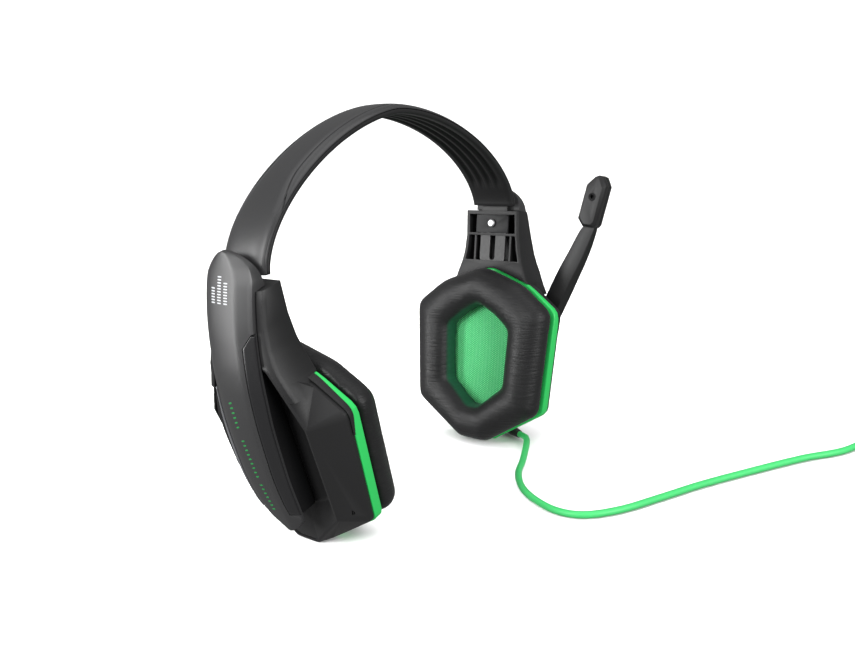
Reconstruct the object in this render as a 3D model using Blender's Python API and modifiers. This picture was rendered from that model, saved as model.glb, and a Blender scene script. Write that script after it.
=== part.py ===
"""Gaming headset: sprung headband, two sliding arms with hexagonal cups, a swinging boom
microphone and a coiled cord. Metres, +Z up. +X is the wearer's left, -Y is the front.

Each cup is drawn in its own frame: u runs forward, v runs up the cup, n runs outward
from the seam between cushion and cup.
"""
import math

import bmesh
import bpy
from mathutils import Matrix, Vector

MM = 0.001

# ---- driving sizes -------------------------------------------------------------------
TO_ORIGIN = Vector((-6.4 * MM, 7.65 * MM, 0.0))   # brings the middle of the bounds over the origin
GAP = 0.3 * MM              # clearance between pieces that touch
SLIDE_GAP = 0.4 * MM        # clearance round the sliding strip
TOE_IN = math.radians(12.3)  # lean of each cup, bottoms closer together
CUP_Z = 45.6 * MM           # cup centre above the table
CUP_HALF_WIDTH = 42.0 * MM  # front to back
CUP_TOP = 47.4 * MM         # cup centre to top of the trim ring
CUP_BOTTOM = 46.6 * MM      # cup centre to its lowest edge
RING_DEPTH = 4.7 * MM       # green ring, along n
RING_WIDTH = 3.0 * MM       # green ring, across its face
RIM_TOP_N = 18.0 * MM       # height of the outer rim at the top of the cup
RIM_LOW_N = 14.0 * MM       # height of the outer rim at the bottom
POCKET_N = 11.5 * MM        # floor of the pocket that carries the blade
FLOOR_WALL = 1.7 * MM       # thickness of that floor
CUSHION_DEPTH = 15.0 * MM   # ear cushion, along n
EAR_HALF_WIDTH = 18.6 * MM  # opening in the cushion
EAR_HALF_HEIGHT = 27.2 * MM
DRIVER_RADIUS = 20.0 * MM   # 40 mm loudspeaker
BAND_HALF_SPAN = 83.8 * MM  # inner face of the band at its ends
CUP_X = BAND_HALF_SPAN - 15.1 * MM  # cup centre from the middle plane
BAND_END_Z = 124.0 * MM     # height of the band's ends
BAND_RISE = 54.0 * MM       # inner face, ends to crown
BAND_POWER = 1.21           # fullness of the arch
BAND_HALF_WIDTH = 12.8 * MM
BAND_THICK = 5.0 * MM
BAND_SPLIT = 2.2 * MM       # inner face to the parting line
BAND_SKIN = 1.3 * MM
RIBS = 4                    # grooves on the pad side
RIB_PITCH = 5.0 * MM
RIB_HALF = 1.75 * MM
RIB_DEPTH = 1.0 * MM
RIB_START = 11.0 * MM       # height above the band's ends where they begin
TONGUE_HALF_WIDTH = 8.0 * MM
TONGUE_THICK = 1.0 * MM
TONGUE_N = 0.7 * MM         # middle of the strip
TONGUE_LOW_V = 47.8 * MM    # lower end of the strip
ARM_TOP_V = 77.3 * MM       # top lip of the arm
ARM_WALL = 2.2 * MM
RIB_V = 64.7 * MM           # cross rib below the guide plate
GUIDE_V = 70.6 * MM         # guide screw
SLIDE_TRAVEL = 18.0 * MM
BLADE_TOP_V = 91.7 * MM
BLADE_THICK = 4.4 * MM
SCREW_RADIUS = 1.3 * MM
PIVOT_U = 19.0 * MM         # microphone pivot
PIVOT_V = 0.0 * MM
HUB_RADIUS = 5.6 * MM
BOOM_N = 18.4 * MM          # inner face of the boom
BOOM_THICK = 3.0 * MM
CORD_RADIUS = 1.7 * MM
COIL_RADIUS = 20.5 * MM     # middle of the coiled cord
COIL_SECTION = 7.7 * MM     # half thickness of the coiled bundle
COIL_AT = (178.0 * MM, -205.0 * MM)

COLLECTION = "gaming_headset"
RIGHT = -1.0
LEFT = 1.0


# ---- scene ---------------------------------------------------------------------------
for old in list(bpy.data.objects):
    bpy.data.objects.remove(old, do_unlink=True)

parts = bpy.data.collections.new(COLLECTION)
cutters = bpy.data.collections.new("cutters")
bpy.context.scene.collection.children.link(parts)
bpy.context.scene.collection.children.link(cutters)


def material(name, colour, roughness, metallic=0.0):
    made = bpy.data.materials.new(name)
    made.use_nodes = True
    shader = made.node_tree.nodes["Principled BSDF"]
    shader.inputs["Base Color"].default_value = (*colour, 1.0)
    shader.inputs["Roughness"].default_value = roughness
    shader.inputs["Metallic"].default_value = metallic
    made.diffuse_color = (*colour, 1.0)
    return made


GREY = ("satin_grey", (0.085, 0.087, 0.09), 0.38, 0.15)
BLACK = ("black_plastic", (0.012, 0.012, 0.013), 0.42, 0.0)
PANEL = ("dark_panel", (0.03, 0.031, 0.033), 0.3, 0.0)
GREEN = ("green_plastic", (0.03, 0.6, 0.09), 0.35, 0.0)
MESH = ("green_cloth", (0.1, 0.72, 0.2), 0.8, 0.0)
SOFT = ("black_leatherette", (0.03, 0.03, 0.031), 0.55, 0.0)
STEEL = ("steel", (0.6, 0.6, 0.61), 0.3, 1.0)
SILVER = ("silver_trim", (0.75, 0.76, 0.78), 0.22, 0.9)
CORD = ("green_cord", (0.03, 0.62, 0.1), 0.5, 0.0)
RUBBER = ("black_rubber", (0.02, 0.02, 0.02), 0.7, 0.0)
FILM = ("clear_film", (0.5, 0.45, 0.3), 0.3, 0.0)
GOLD = ("gold_plate", (0.85, 0.62, 0.25), 0.25, 1.0)


# ---- small tools ---------------------------------------------------------------------
def make(name, verts, faces, look=None):
    """A closed solid from points and faces, with its faces turned outward."""
    mesh = bpy.data.meshes.new(name)
    mesh.from_pydata([tuple(v) for v in verts], [], faces)
    work = bmesh.new()
    work.from_mesh(mesh)
    bmesh.ops.triangulate(work, faces=work.faces)
    bmesh.ops.recalc_face_normals(work, faces=work.faces)
    if work.calc_volume(signed=True) < 0.0:
        bmesh.ops.reverse_faces(work, faces=work.faces)
    work.to_mesh(mesh)
    work.free()
    return keep(bpy.data.objects.new(name, mesh), look)


def lofted(name, loops, look=None):
    """Solid through equal loops, each end closed by a fan."""
    size = len(loops[0])
    verts = [p for loop in loops for p in loop]
    faces = []
    for k in range(len(loops) - 1):
        for i in range(size):
            j = (i + 1) % size
            faces.append((k * size + i, k * size + j, (k + 1) * size + j, (k + 1) * size + i))
    for k in (0, len(loops) - 1):
        centre = sum((Vector(p) for p in loops[k]), Vector()) / size
        verts.append(centre)
        hub = len(verts) - 1
        for i in range(size):
            faces.append((k * size + i, k * size + (i + 1) % size, hub))
    return make(name, verts, faces, look)


def hooped(name, loops, look=None):
    """Ring-shaped solid: the last loop joins back to the first."""
    size = len(loops[0])
    count = len(loops)
    verts = [p for loop in loops for p in loop]
    faces = []
    for k in range(count):
        m = (k + 1) % count
        for i in range(size):
            j = (i + 1) % size
            faces.append((k * size + i, k * size + j, m * size + j, m * size + i))
    return make(name, verts, faces, look)


def table(pairs, x):
    """Straight-line lookup in rising (x, y) pairs."""
    if x <= pairs[0][0]:
        return pairs[0][1]
    for (x0, y0), (x1, y1) in zip(pairs, pairs[1:]):
        if x <= x1:
            return y0 + (y1 - y0) * (x - x0) / (x1 - x0)
    return pairs[-1][1]


def scaled(pairs):
    """A table written in millimetres, in metres."""
    return [(a * MM, b * MM) for a, b in pairs]


def inset_polygon(points, inset):
    """Move every edge of a counter-clockwise polygon inward by inset."""
    moved = []
    count = len(points)
    for i in range(count):
        p = Vector(points[i - 1])
        q = Vector(points[i])
        r = Vector(points[(i + 1) % count])
        d0 = (q - p).normalized()
        d1 = (r - q).normalized()
        n0 = Vector((-d0.y, d0.x))
        n1 = Vector((-d1.y, d1.x))
        bisector = (n0 + n1).normalized()
        moved.append(q + bisector * (inset / max(bisector.dot(n0), 0.2)))
    return moved


def rounded(points, radii, steps=2, first=3):
    """Polygon with each corner turned into an arc; the first corner, which lies on the
    middle plane of a cup, takes an odd number of steps so that no edge lies on that plane."""
    out = []
    count = len(points)
    for i in range(count):
        p = Vector(points[i - 1])
        q = Vector(points[i])
        r = Vector(points[(i + 1) % count])
        a = (p - q).normalized()
        b = (r - q).normalized()
        half = a.angle(b) / 2.0
        reach = min(radii[i] / math.tan(half), 0.45 * (p - q).length, 0.45 * (r - q).length)
        radius = reach * math.tan(half)
        centre = q + (a + b).normalized() * (radius / math.sin(half))
        start = q + a * reach - centre
        end = q + b * reach - centre
        sweep = start.angle_signed(end)
        arc = first if i == 0 else steps
        for s in range(arc + 1):
            turn = -sweep * s / arc
            cos_t = math.cos(turn)
            sin_t = math.sin(turn)
            out.append(centre + Vector((start.x * cos_t - start.y * sin_t,
                                        start.x * sin_t + start.y * cos_t)))
    return out


def cup_point(side, u, v, n):
    """From cup frame to world."""
    x = side * (CUP_X + v * math.sin(TOE_IN) + n * math.cos(TOE_IN))
    z = CUP_Z + v * math.cos(TOE_IN) - n * math.sin(TOE_IN)
    return Vector((x, -u, z))


def floor_v(n, height=0.0):
    """Lowest v allowed at n, so that nothing dips below the table."""
    return (height - CUP_Z + n * math.sin(TOE_IN)) / math.cos(TOE_IN)


def loop_at(side, flat, n, height=0.0):
    """World loop from flat (u, v) points; n is a number or a function of v."""
    out = []
    for p in flat:
        level = n(p.y) if callable(n) else n
        v = max(p.y, floor_v(level, height))
        out.append(cup_point(side, p.x, v, level))
    return out


def on_cup(side, u, v, n=0.0):
    """Placement on the cup with local Z along n and local X forward."""
    z = Vector((side * math.cos(TOE_IN), 0.0, -math.sin(TOE_IN)))
    x = Vector((0.0, -1.0, 0.0))
    y = z.cross(x)
    return placed(x, y, z, cup_point(side, u, v, n))


def placed(x, y, z, origin):
    frame = Matrix((x, y, z)).transposed().to_4x4()
    frame.translation = origin
    return frame


def keep(thing, look):
    """Put an object among the parts with its material, or among the cutters."""
    if look is None:
        cutters.objects.link(thing)
        thing.hide_render = True
        thing.display_type = "WIRE"
    else:
        parts.objects.link(thing)
        thing.data.materials.append(material(thing.name + "_" + look[0], *look[1:]))
    return thing


def bar(name, frame, radius, n0, n1, look=None, segments=20):
    """Round bar along the frame's Z."""
    mesh = bpy.data.meshes.new(name)
    work = bmesh.new()
    bmesh.ops.create_cone(work, cap_ends=True, segments=segments, radius1=radius,
                          radius2=radius, depth=n1 - n0)
    bmesh.ops.translate(work, verts=work.verts, vec=(0.0, 0.0, (n0 + n1) / 2))
    work.to_mesh(mesh)
    work.free()
    thing = bpy.data.objects.new(name, mesh)
    thing.matrix_world = frame
    return keep(thing, look)


def block(name, frame, low, high, look=None):
    """Box between two corners in the frame."""
    mesh = bpy.data.meshes.new(name)
    work = bmesh.new()
    bmesh.ops.create_cube(work, size=1.0)
    size = [h - l for l, h in zip(low, high)]
    bmesh.ops.scale(work, verts=work.verts, vec=size)
    bmesh.ops.translate(work, verts=work.verts, vec=[(h + l) / 2 for l, h in zip(low, high)])
    work.to_mesh(mesh)
    work.free()
    thing = bpy.data.objects.new(name, mesh)
    thing.matrix_world = frame
    return keep(thing, look)


def turned(name, frame, profile, look=None, segments=28, ring=False):
    """Profile of (radius, height) turned about the frame's Z, from the top down its outer
    side. A solid one starts and ends on the axis; a ring joins back to its first point."""
    verts = [(radius, 0.0, height) for radius, height in profile]
    edges = [(i, i + 1) for i in range(len(verts) - 1)]
    if ring:
        edges.append((len(verts) - 1, 0))
    mesh = bpy.data.meshes.new(name)
    mesh.from_pydata(verts, edges, [])
    thing = bpy.data.objects.new(name, mesh)
    thing.matrix_world = frame
    spin = thing.modifiers.new("turn", "SCREW")
    spin.axis = "Z"
    spin.steps = segments
    spin.render_steps = segments
    spin.use_merge_vertices = True
    spin.merge_threshold = 0.00001
    return keep(thing, look)


def boolean(target, tool, operation="DIFFERENCE"):
    step = target.modifiers.new(operation.lower() + "_" + tool.name, "BOOLEAN")
    step.operation = operation
    step.solver = "EXACT"
    step.object = tool
    join = target.modifiers.new("weld_" + tool.name, "WELD")
    join.merge_threshold = 0.00001


# ---- cup outlines --------------------------------------------------------------------
def outline(top, shoulder, corner, low, foot):
    """Nine-cornered cup outline, counter-clockwise from the top."""
    half = [shoulder, corner, low, foot]
    left = [(-u, v) for u, v in half]
    return [(0.0, top)] + left + list(reversed(half))


CUP_OUTLINE = outline(CUP_TOP, (0.590 * CUP_HALF_WIDTH, 0.821 * CUP_TOP),
                      (CUP_HALF_WIDTH, 0.548 * CUP_TOP),
                      (0.905 * CUP_HALF_WIDTH, -0.599 * CUP_BOTTOM),
                      (0.190 * CUP_HALF_WIDTH, -CUP_BOTTOM))
CUP_RADII = [r * MM for r in (14, 25, 6, 5, 4, 4, 5, 6, 25)]
RIM_OUTLINE = outline(CUP_TOP + 3.6 * MM, (0.395 * CUP_HALF_WIDTH, CUP_TOP + 1.6 * MM),
                      (0.700 * CUP_HALF_WIDTH, 0.475 * CUP_TOP),
                      (0.600 * CUP_HALF_WIDTH, -0.560 * CUP_BOTTOM),
                      (0.155 * CUP_HALF_WIDTH, -CUP_BOTTOM + 3.0 * MM))
RIM_RADII = [r * MM for r in (6, 4, 3, 2, 3, 3, 2, 3, 4)]
POCKET_OUTLINE = outline(CUP_TOP - 0.4 * MM, (0.335 * CUP_HALF_WIDTH, CUP_TOP - 2.0 * MM),
                         (0.640 * CUP_HALF_WIDTH, 0.450 * CUP_TOP),
                         (0.550 * CUP_HALF_WIDTH, -0.370 * CUP_BOTTOM),
                         (0.120 * CUP_HALF_WIDTH, -0.515 * CUP_BOTTOM))
EAR_OUTLINE = outline(EAR_HALF_HEIGHT, (0.520 * EAR_HALF_WIDTH, 0.800 * EAR_HALF_HEIGHT),
                      (EAR_HALF_WIDTH, 0.545 * EAR_HALF_HEIGHT),
                      (0.930 * EAR_HALF_WIDTH, -0.560 * EAR_HALF_HEIGHT),
                      (0.160 * EAR_HALF_WIDTH, -EAR_HALF_HEIGHT))
EAR_RADII = [r * MM for r in (3, 6, 4, 4, 3, 3, 4, 4, 6)]


def cup_flat(inset):
    radii = [max(r - inset, 1.0 * MM) for r in CUP_RADII]
    return rounded(inset_polygon(CUP_OUTLINE, inset), radii)


def ear_flat(inset):
    radii = [max(r - inset, 1.0 * MM) for r in EAR_RADII]
    return rounded(inset_polygon(EAR_OUTLINE, inset), radii)


def rim_flat(inset):
    return rounded(inset_polygon(RIM_OUTLINE, inset), [max(r - inset, 0.8 * MM) for r in RIM_RADII])


def rim_n(v):
    """Outer rim height, lower towards the bottom of the cup."""
    return table([(-0.56 * CUP_BOTTOM, RIM_LOW_N), (0.47 * CUP_TOP, RIM_TOP_N)], v)


def blend(a, b, t):
    return [p.lerp(q, t) for p, q in zip(a, b)]


# ---- blade surface -------------------------------------------------------------------
BLADE_N = scaled([(-31, 22.6), (-20, 24.4), (0, 25.8), (20, 25.4), (37, 23.8), (46, 22.4),
                  (55, 20.4), (64, 18.0), (73, 14.8), (80, 11.8), (87, 8.2), (91.7, 5.8)])
BLADE_REAR = scaled([(-31, 0.6), (-29, -2.4), (-24, -9.0), (-15, -12.6), (0, -13.8),
                     (20, -14.2), (73, -14.0), (83, -13.8), (86.6, -12.0), (89.6, -9.2), (91.7, -5.4)])
BLADE_FRONT = scaled([(-31, 3.2), (-29, 6.4), (-24, 10.8), (-15, 11.8), (0, 12.6), (20, 13.2),
                      (37, 13.6), (80, 13.6), (84, 12.4), (86.6, 10.2), (89.6, 5.2), (91.7, -1.2)])
BLADE_STOPS = [v * MM for v in (-31, -29, -24, -15, 0, 20, 37, 46, 50, 55, 64, 73, 80, 83, 84,
                                  86.6, 89.6, 91.7)]
FACET = 6.4 * MM            # width of the sloping front facet
FACET_DROP = 2.4 * MM
EDGE_DROP = 1.3 * MM        # rear edge below the crest


def blade_surface(v, u):
    """Height of the blade's outer face at (u, v)."""
    crest = table(BLADE_N, v)
    rear = table(BLADE_REAR, v)
    front = table(BLADE_FRONT, v)
    narrow = min(1.0, (front - rear) / (20.0 * MM))
    return table([(rear, crest - EDGE_DROP * narrow),
                  (rear + 3.0 * MM * narrow, crest - 0.35 * MM * narrow),
                  (0.35 * rear + 0.65 * front - FACET * narrow * 0.5, crest),
                  (front - FACET * narrow * 0.9, crest - 0.25 * MM * narrow),
                  (front, crest - FACET_DROP * narrow)], u)


def blade_columns(v):
    crest_u = [table(BLADE_REAR, v), table(BLADE_FRONT, v)]
    rear, front = crest_u
    narrow = min(1.0, (front - rear) / (20.0 * MM))
    return [rear, rear + 3.0 * MM * narrow, 0.35 * rear + 0.65 * front - FACET * narrow * 0.5,
            front - FACET * narrow * 0.9, front]


def arm_outer(v):
    """Outer face of the arm, which the blade lies on."""
    return min(table(BLADE_N, v) - BLADE_THICK, RIM_TOP_N - 0.2 * MM)


# ---- arm sections --------------------------------------------------------------------
ARM_HALF = scaled([(34, 26.6), (41, 23.2), (45, 21.6), (50, 19.6), (56, 18.0), (65, 17.0),
                   (77.3, 16.8)])
ARM_INNER = scaled([(34, -0.4), (56, -0.6), (65, -1.0), (77.3, -2.2)])
ARM_STOPS = [v * MM for v in (34, 41, 46, 50, 55, 64, 73, 77.3)]


def arm_loop(side, v, shrink, inner=None, outer=None):
    half = table(ARM_HALF, v) - shrink
    low = table(ARM_INNER, v) if inner is None else inner
    high = arm_outer(v) - shrink if outer is None else outer
    corner = max(2.6 * MM - shrink, 0.6 * MM)
    flat = rounded([(-half, low), (half, low), (half, high), (-half, high)],
                   [1.0 * MM, 1.0 * MM, corner, corner], 2)
    return [cup_point(side, p.x, v, p.y) for p in flat]


# ---- one cup and its arm -------------------------------------------------------------
def build_housing(side, tag):
    housing = lofted(tag + "_cup_housing", [
        loop_at(side, cup_flat(0.5 * MM), RING_DEPTH - 0.7 * MM),
        loop_at(side, cup_flat(0.9 * MM), RING_DEPTH + 2.2 * MM),
        loop_at(side, rim_flat(0.0), lambda v: rim_n(v) - 0.7 * MM),
        loop_at(side, rim_flat(0.6 * MM), rim_n),
        loop_at(side, rim_flat(6.0 * MM), rim_n)], BLACK)
    arm = lofted(tag + "_arm_body", [arm_loop(side, v, 0.0) for v in ARM_STOPS])
    boolean(housing, arm, "UNION")
    guide = on_cup(side, 0.0, GUIDE_V)
    boss = bar(tag + "_guide_boss", guide, 3.4 * MM,
               TONGUE_N + TONGUE_THICK / 2 + SLIDE_GAP, 9.6 * MM)
    pocket = lofted(tag + "_pocket_cut", [
        loop_at(side, rounded(POCKET_OUTLINE, RIM_RADII), POCKET_N, 3.0 * MM),
        loop_at(side, rim_flat(1.6 * MM), lambda v: rim_n(v) - 0.9 * MM, 1.5 * MM),
        loop_at(side, rim_flat(1.2 * MM), lambda v: rim_n(v) + 6.0 * MM, 1.5 * MM)])
    boolean(housing, pocket)
    room = lofted(tag + "_room_cut", [
        loop_at(side, cup_flat(7.0 * MM), 2.0 * MM),
        loop_at(side, cup_flat(9.6 * MM), POCKET_N - FLOOR_WALL)])
    boolean(housing, room)
    seat = lofted(tag + "_seat_cut", [
        loop_at(side, cup_flat(-GAP), -6.0 * MM, -3.0 * MM),
        loop_at(side, cup_flat(-GAP), RING_DEPTH + GAP, -3.0 * MM)])
    boolean(housing, seat)
    low_v = 50.6 * MM
    rib = 0.6 * MM
    for label, cell in (("upper", (RIB_V + rib, ARM_TOP_V - 2.0 * MM)),
                        ("lower", (low_v, RIB_V - rib))):
        stops = [cell[0], (cell[0] + cell[1]) / 2, cell[1]]
        hollow = lofted(tag + "_" + label + "_cell_cut",
                        [arm_loop(side, v, ARM_WALL, inner=-8.0 * MM) for v in stops])
        boolean(housing, hollow)
    for k, u in enumerate((-11.4 * MM, 11.4 * MM)):
        trim = table(BLADE_N, RIB_V) - BLADE_THICK - 0.8 * MM
        web_top = lofted(tag + "_side_web_%d" % k, [
            [cup_point(side, u - rib, v, 0.2 * MM), cup_point(side, u + rib, v, 0.2 * MM),
             cup_point(side, u + rib, v, top), cup_point(side, u - rib, v, top)]
            for v, top in ((low_v - 1.0 * MM, arm_outer(low_v) - 1.0 * MM), (RIB_V, trim))])
        boolean(housing, web_top, "UNION")
    boolean(housing, boss, "UNION")
    half = TONGUE_HALF_WIDTH + SLIDE_GAP
    thick = TONGUE_THICK / 2 + SLIDE_GAP
    slot = lofted(tag + "_slot_cut", [
        [cup_point(side, u, v, n) for u, n in
         ((-half, TONGUE_N - thick), (half, TONGUE_N - thick),
          (half, TONGUE_N + thick), (-half, TONGUE_N + thick))]
        for v in (low_v - 3.2 * MM, ARM_TOP_V + 4.0 * MM)])
    boolean(housing, slot)
    bed = lofted(tag + "_blade_bed_cut", [
        [cup_point(side, u, v, n) for u, n in
         ((-15.0 * MM, arm_outer(v) + 0.1 * MM), (14.5 * MM, arm_outer(v) + 0.1 * MM),
          (14.5 * MM, arm_outer(v) + 9.0 * MM), (-15.0 * MM, arm_outer(v) + 9.0 * MM))]
        for v in (44.0 * MM, 46.0 * MM, 50.0 * MM, 55.0 * MM, 60.0 * MM)])
    boolean(housing, bed)
    guide_hole = bar(tag + "_guide_hole", guide, SCREW_RADIUS + GAP, -4.0 * MM, 8.4 * MM)
    boolean(housing, guide_hole)
    return housing


def build_cup(side, tag):
    housing = build_housing(side, tag)

    # blade, its inlaid panel, the silver strip and the dark carrier under them
    over_band = BAND_THICK - 1.4 * MM
    loops = []
    for v in BLADE_STOPS:
        columns = blade_columns(v)
        under = table(BLADE_N, v) - BLADE_THICK + GAP
        if v > ARM_TOP_V:
            under = over_band
        elif v < 48.0 * MM:
            under = table(BLADE_N, v) - BLADE_THICK
        else:
            under = arm_outer(v) + GAP
        loop = [cup_point(side, u, v, blade_surface(v, u)) for u in columns]
        loop += [cup_point(side, columns[-1], v, under), cup_point(side, columns[0], v, under)]
        loops.append(loop)
        if abs(v - 73.0 * MM) < 0.1 * MM:
            step_v = ARM_TOP_V + GAP
            columns = blade_columns(step_v)
            for under in (arm_outer(ARM_TOP_V) + GAP, over_band):
                at = step_v if under == over_band else step_v - 0.05 * MM
                loop = [cup_point(side, u, at, blade_surface(at, u)) for u in columns]
                loop += [cup_point(side, columns[-1], at, under),
                         cup_point(side, columns[0], at, under)]
                loops.append(loop)
    blade = lofted(tag + "_blade", loops, GREY)

    def panel_loop(v, start, grow, bottom, top):
        front = table(BLADE_FRONT, v) + grow
        edge = blade_surface(v, table(BLADE_FRONT, v))
        near = blade_surface(v, start)
        edge -= grow * (near - edge) / (front - grow - start)
        return [cup_point(side, start, v, near - bottom), cup_point(side, start, v, near + top),
                cup_point(side, front, v, edge + top), cup_point(side, front, v, edge - bottom)]

    panel_stops = scaled([(-21, 6.6), (-15, 6.2), (0, 6.4), (20, 7.0), (37, 7.2), (57, 7.6),
                          (62.5, 12.6)])
    cut = lofted(tag + "_panel_cut",
                 [panel_loop(v, u, 2.0 * MM, 1.4 * MM, 3.0 * MM) for v, u in panel_stops])
    boolean(blade, cut)
    panel_in = []
    for v, u in panel_stops:
        at = min(max(v, panel_stops[0][0] + GAP), panel_stops[-1][0] - 1.0 * MM)
        u = table(panel_stops, at)
        panel_in.append(panel_loop(at, u + GAP, 0.0, 1.1 * MM, -0.05 * MM))
    lofted(tag + "_side_panel", panel_in, PANEL)

    trim_stops = [v * MM for v in (-21, -14, 0, 18, 30, 38)]
    loops = []
    for k, v in enumerate(trim_stops):
        rear = table(BLADE_REAR, v) - GAP
        edge = blade_surface(v, table(BLADE_REAR, v))
        wide = (0.5 if k in (0, len(trim_stops) - 1) else 1.7) * MM
        loops.append([cup_point(side, rear - wide, v, edge - 2.2 * MM),
                      cup_point(side, rear, v, edge - 2.2 * MM),
                      cup_point(side, rear, v, edge + 0.1 * MM),
                      cup_point(side, rear - wide, v, edge - 0.5 * MM)])
    lofted(tag + "_silver_strip", loops, SILVER)

    fin = scaled([(-21, -14.6), (-14, -17.0), (0, -19.0), (14, -20.6), (24, -21.0), (31, -19.4),
                  (38, -16.6), (44, -13.0)])
    loops = []
    for v in [a * MM for a in (-21.5, -14, 0, 14, 24, 31, 38, 44)]:
        rear = table(BLADE_REAR, v) - GAP
        edge = blade_surface(v, table(BLADE_REAR, v))
        seat = table(BLADE_N, v) - BLADE_THICK - GAP
        tip = min(table(fin, v), rear - 2.4 * MM) if v < 38.5 * MM else rear - 0.4 * MM
        ledge = edge - 2.2 * MM - GAP
        shelf = max(rear - 1.7 * MM - GAP, tip + 0.3 * MM)
        loops.append([cup_point(side, 11.0 * MM, v, POCKET_N + GAP),
                      cup_point(side, 11.0 * MM, v, seat),
                      cup_point(side, table(BLADE_REAR, v) + 0.4 * MM, v, seat),
                      cup_point(side, rear, v, min(ledge, seat)),
                      cup_point(side, shelf, v, min(ledge, seat)),
                      cup_point(side, shelf, v, edge - 1.0 * MM),
                      cup_point(side, tip, v, edge - 2.2 * MM),
                      cup_point(side, tip + 1.5 * MM, v, edge - 5.0 * MM),
                      cup_point(side, -11.0 * MM, v, POCKET_N + GAP)])
    carrier = lofted(tag + "_blade_carrier", loops, BLACK)
    hollow = lofted(tag + "_carrier_cut", [
        [cup_point(side, -8.6 * MM, v, POCKET_N - 2.0 * MM),
         cup_point(side, 8.6 * MM, v, POCKET_N - 2.0 * MM),
         cup_point(side, 8.6 * MM, v, table(BLADE_N, v) - BLADE_THICK - 2.6 * MM),
         cup_point(side, -8.6 * MM, v, table(BLADE_N, v) - BLADE_THICK - 2.6 * MM)]
        for v in (-17.0 * MM, 8.0 * MM, 14.0 * MM)])
    boolean(carrier, hollow)

    # screw that holds the carrier, from inside the cup
    fix_v = 26.0 * MM
    fixing = on_cup(side, 0.0, fix_v)
    through = bar(tag + "_carrier_hole", fixing, SCREW_RADIUS + GAP,
                  POCKET_N - 4.0 * MM, POCKET_N + 5.4 * MM)
    boolean(housing, through)
    boolean(carrier, through)
    head_n = POCKET_N - FLOOR_WALL - GAP
    turned(tag + "_carrier_screw", fixing, [
        (0.0, POCKET_N + 5.0 * MM), (SCREW_RADIUS, POCKET_N + 5.0 * MM), (SCREW_RADIUS, head_n),
        (2.6 * MM, head_n), (2.6 * MM, head_n - 1.2 * MM), (2.2 * MM, head_n - 1.6 * MM),
        (0.0, head_n - 1.6 * MM)], STEEL, 16)

    # green ring and the plates inside it
    hooped(tag + "_trim_ring", [
        loop_at(side, cup_flat(0.5 * MM), 0.0, GAP),
        loop_at(side, cup_flat(0.0), 0.5 * MM, GAP),
        loop_at(side, cup_flat(0.0), RING_DEPTH - 0.4 * MM, GAP),
        loop_at(side, cup_flat(0.4 * MM), RING_DEPTH, GAP),
        loop_at(side, cup_flat(RING_WIDTH), RING_DEPTH, GAP),
        loop_at(side, cup_flat(RING_WIDTH), 0.0, GAP)], GREEN)
    baffle = lofted(tag + "_baffle", [
        loop_at(side, cup_flat(RING_WIDTH + GAP), 2.2 * MM, 2.0 * MM),
        loop_at(side, cup_flat(RING_WIDTH + GAP), RING_DEPTH, 2.0 * MM)], BLACK)
    centre = on_cup(side, 0.0, 0.0)
    boolean(baffle, bar(tag + "_driver_hole", centre, DRIVER_RADIUS + GAP, 0.0, 8.0 * MM,
                        segments=28))
    screw_u = CUP_HALF_WIDTH - 11.0 * MM
    for k, (u, v) in enumerate(((0.0, 38.6 * MM), (-screw_u, -22.0 * MM),
                                (screw_u, -22.0 * MM))):
        place = on_cup(side, u, v)
        well = turned(tag + "_baffle_well_%d" % k, place, [
            (0.0, 10.6 * MM), (1.4 * MM, 10.6 * MM), (1.4 * MM, 3.8 * MM), (2.3 * MM, 3.8 * MM),
            (2.3 * MM, 0.5 * MM), (0.0, 0.5 * MM)], None, 10)
        boolean(baffle, well)
        boolean(housing, well)
        turned(tag + "_baffle_screw_%d" % k, place, [
            (0.0, 10.3 * MM), (1.1 * MM, 10.3 * MM), (1.1 * MM, 3.5 * MM), (2.0 * MM, 3.5 * MM),
            (2.0 * MM, 2.3 * MM), (0.0, 2.3 * MM)], STEEL, 10)
    rear = RING_DEPTH + 1.3 * MM
    turned(tag + "_driver_frame", centre, [
        (DRIVER_RADIUS + 2.0 * MM, rear), (DRIVER_RADIUS + 2.0 * MM, RING_DEPTH + GAP),
        (DRIVER_RADIUS, RING_DEPTH + GAP), (DRIVER_RADIUS, 2.2 * MM),
        (DRIVER_RADIUS - 1.6 * MM, 2.2 * MM), (DRIVER_RADIUS - 2.6 * MM, 5.6 * MM),
        (10.7 * MM, 6.2 * MM), (10.7 * MM, 7.4 * MM), (DRIVER_RADIUS - 2.4 * MM, 7.0 * MM),
        (DRIVER_RADIUS - 0.6 * MM, rear)], BLACK, 28, ring=True)
    turned(tag + "_driver_magnet", centre, [
        (0.0, 9.2 * MM), (9.8 * MM, 9.2 * MM), (10.4 * MM, 8.6 * MM), (10.4 * MM, 4.8 * MM),
        (9.6 * MM, 4.4 * MM), (0.0, 4.4 * MM)], STEEL, 24)
    film_edge = DRIVER_RADIUS - 2.3 * MM
    turned(tag + "_driver_membrane", centre, [
        (0.0, 2.9 * MM), (6.0 * MM, 3.3 * MM), (9.0 * MM, 3.6 * MM), (12.5 * MM, 3.3 * MM),
        (film_edge, 3.7 * MM), (film_edge, 3.3 * MM), (12.5 * MM, 2.9 * MM), (9.0 * MM, 3.2 * MM),
        (6.0 * MM, 2.9 * MM), (0.0, 2.5 * MM)], FILM, 28)
    plate_low = 1.9 * MM
    seat_flat = ear_flat(-3.6 * MM)
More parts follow.
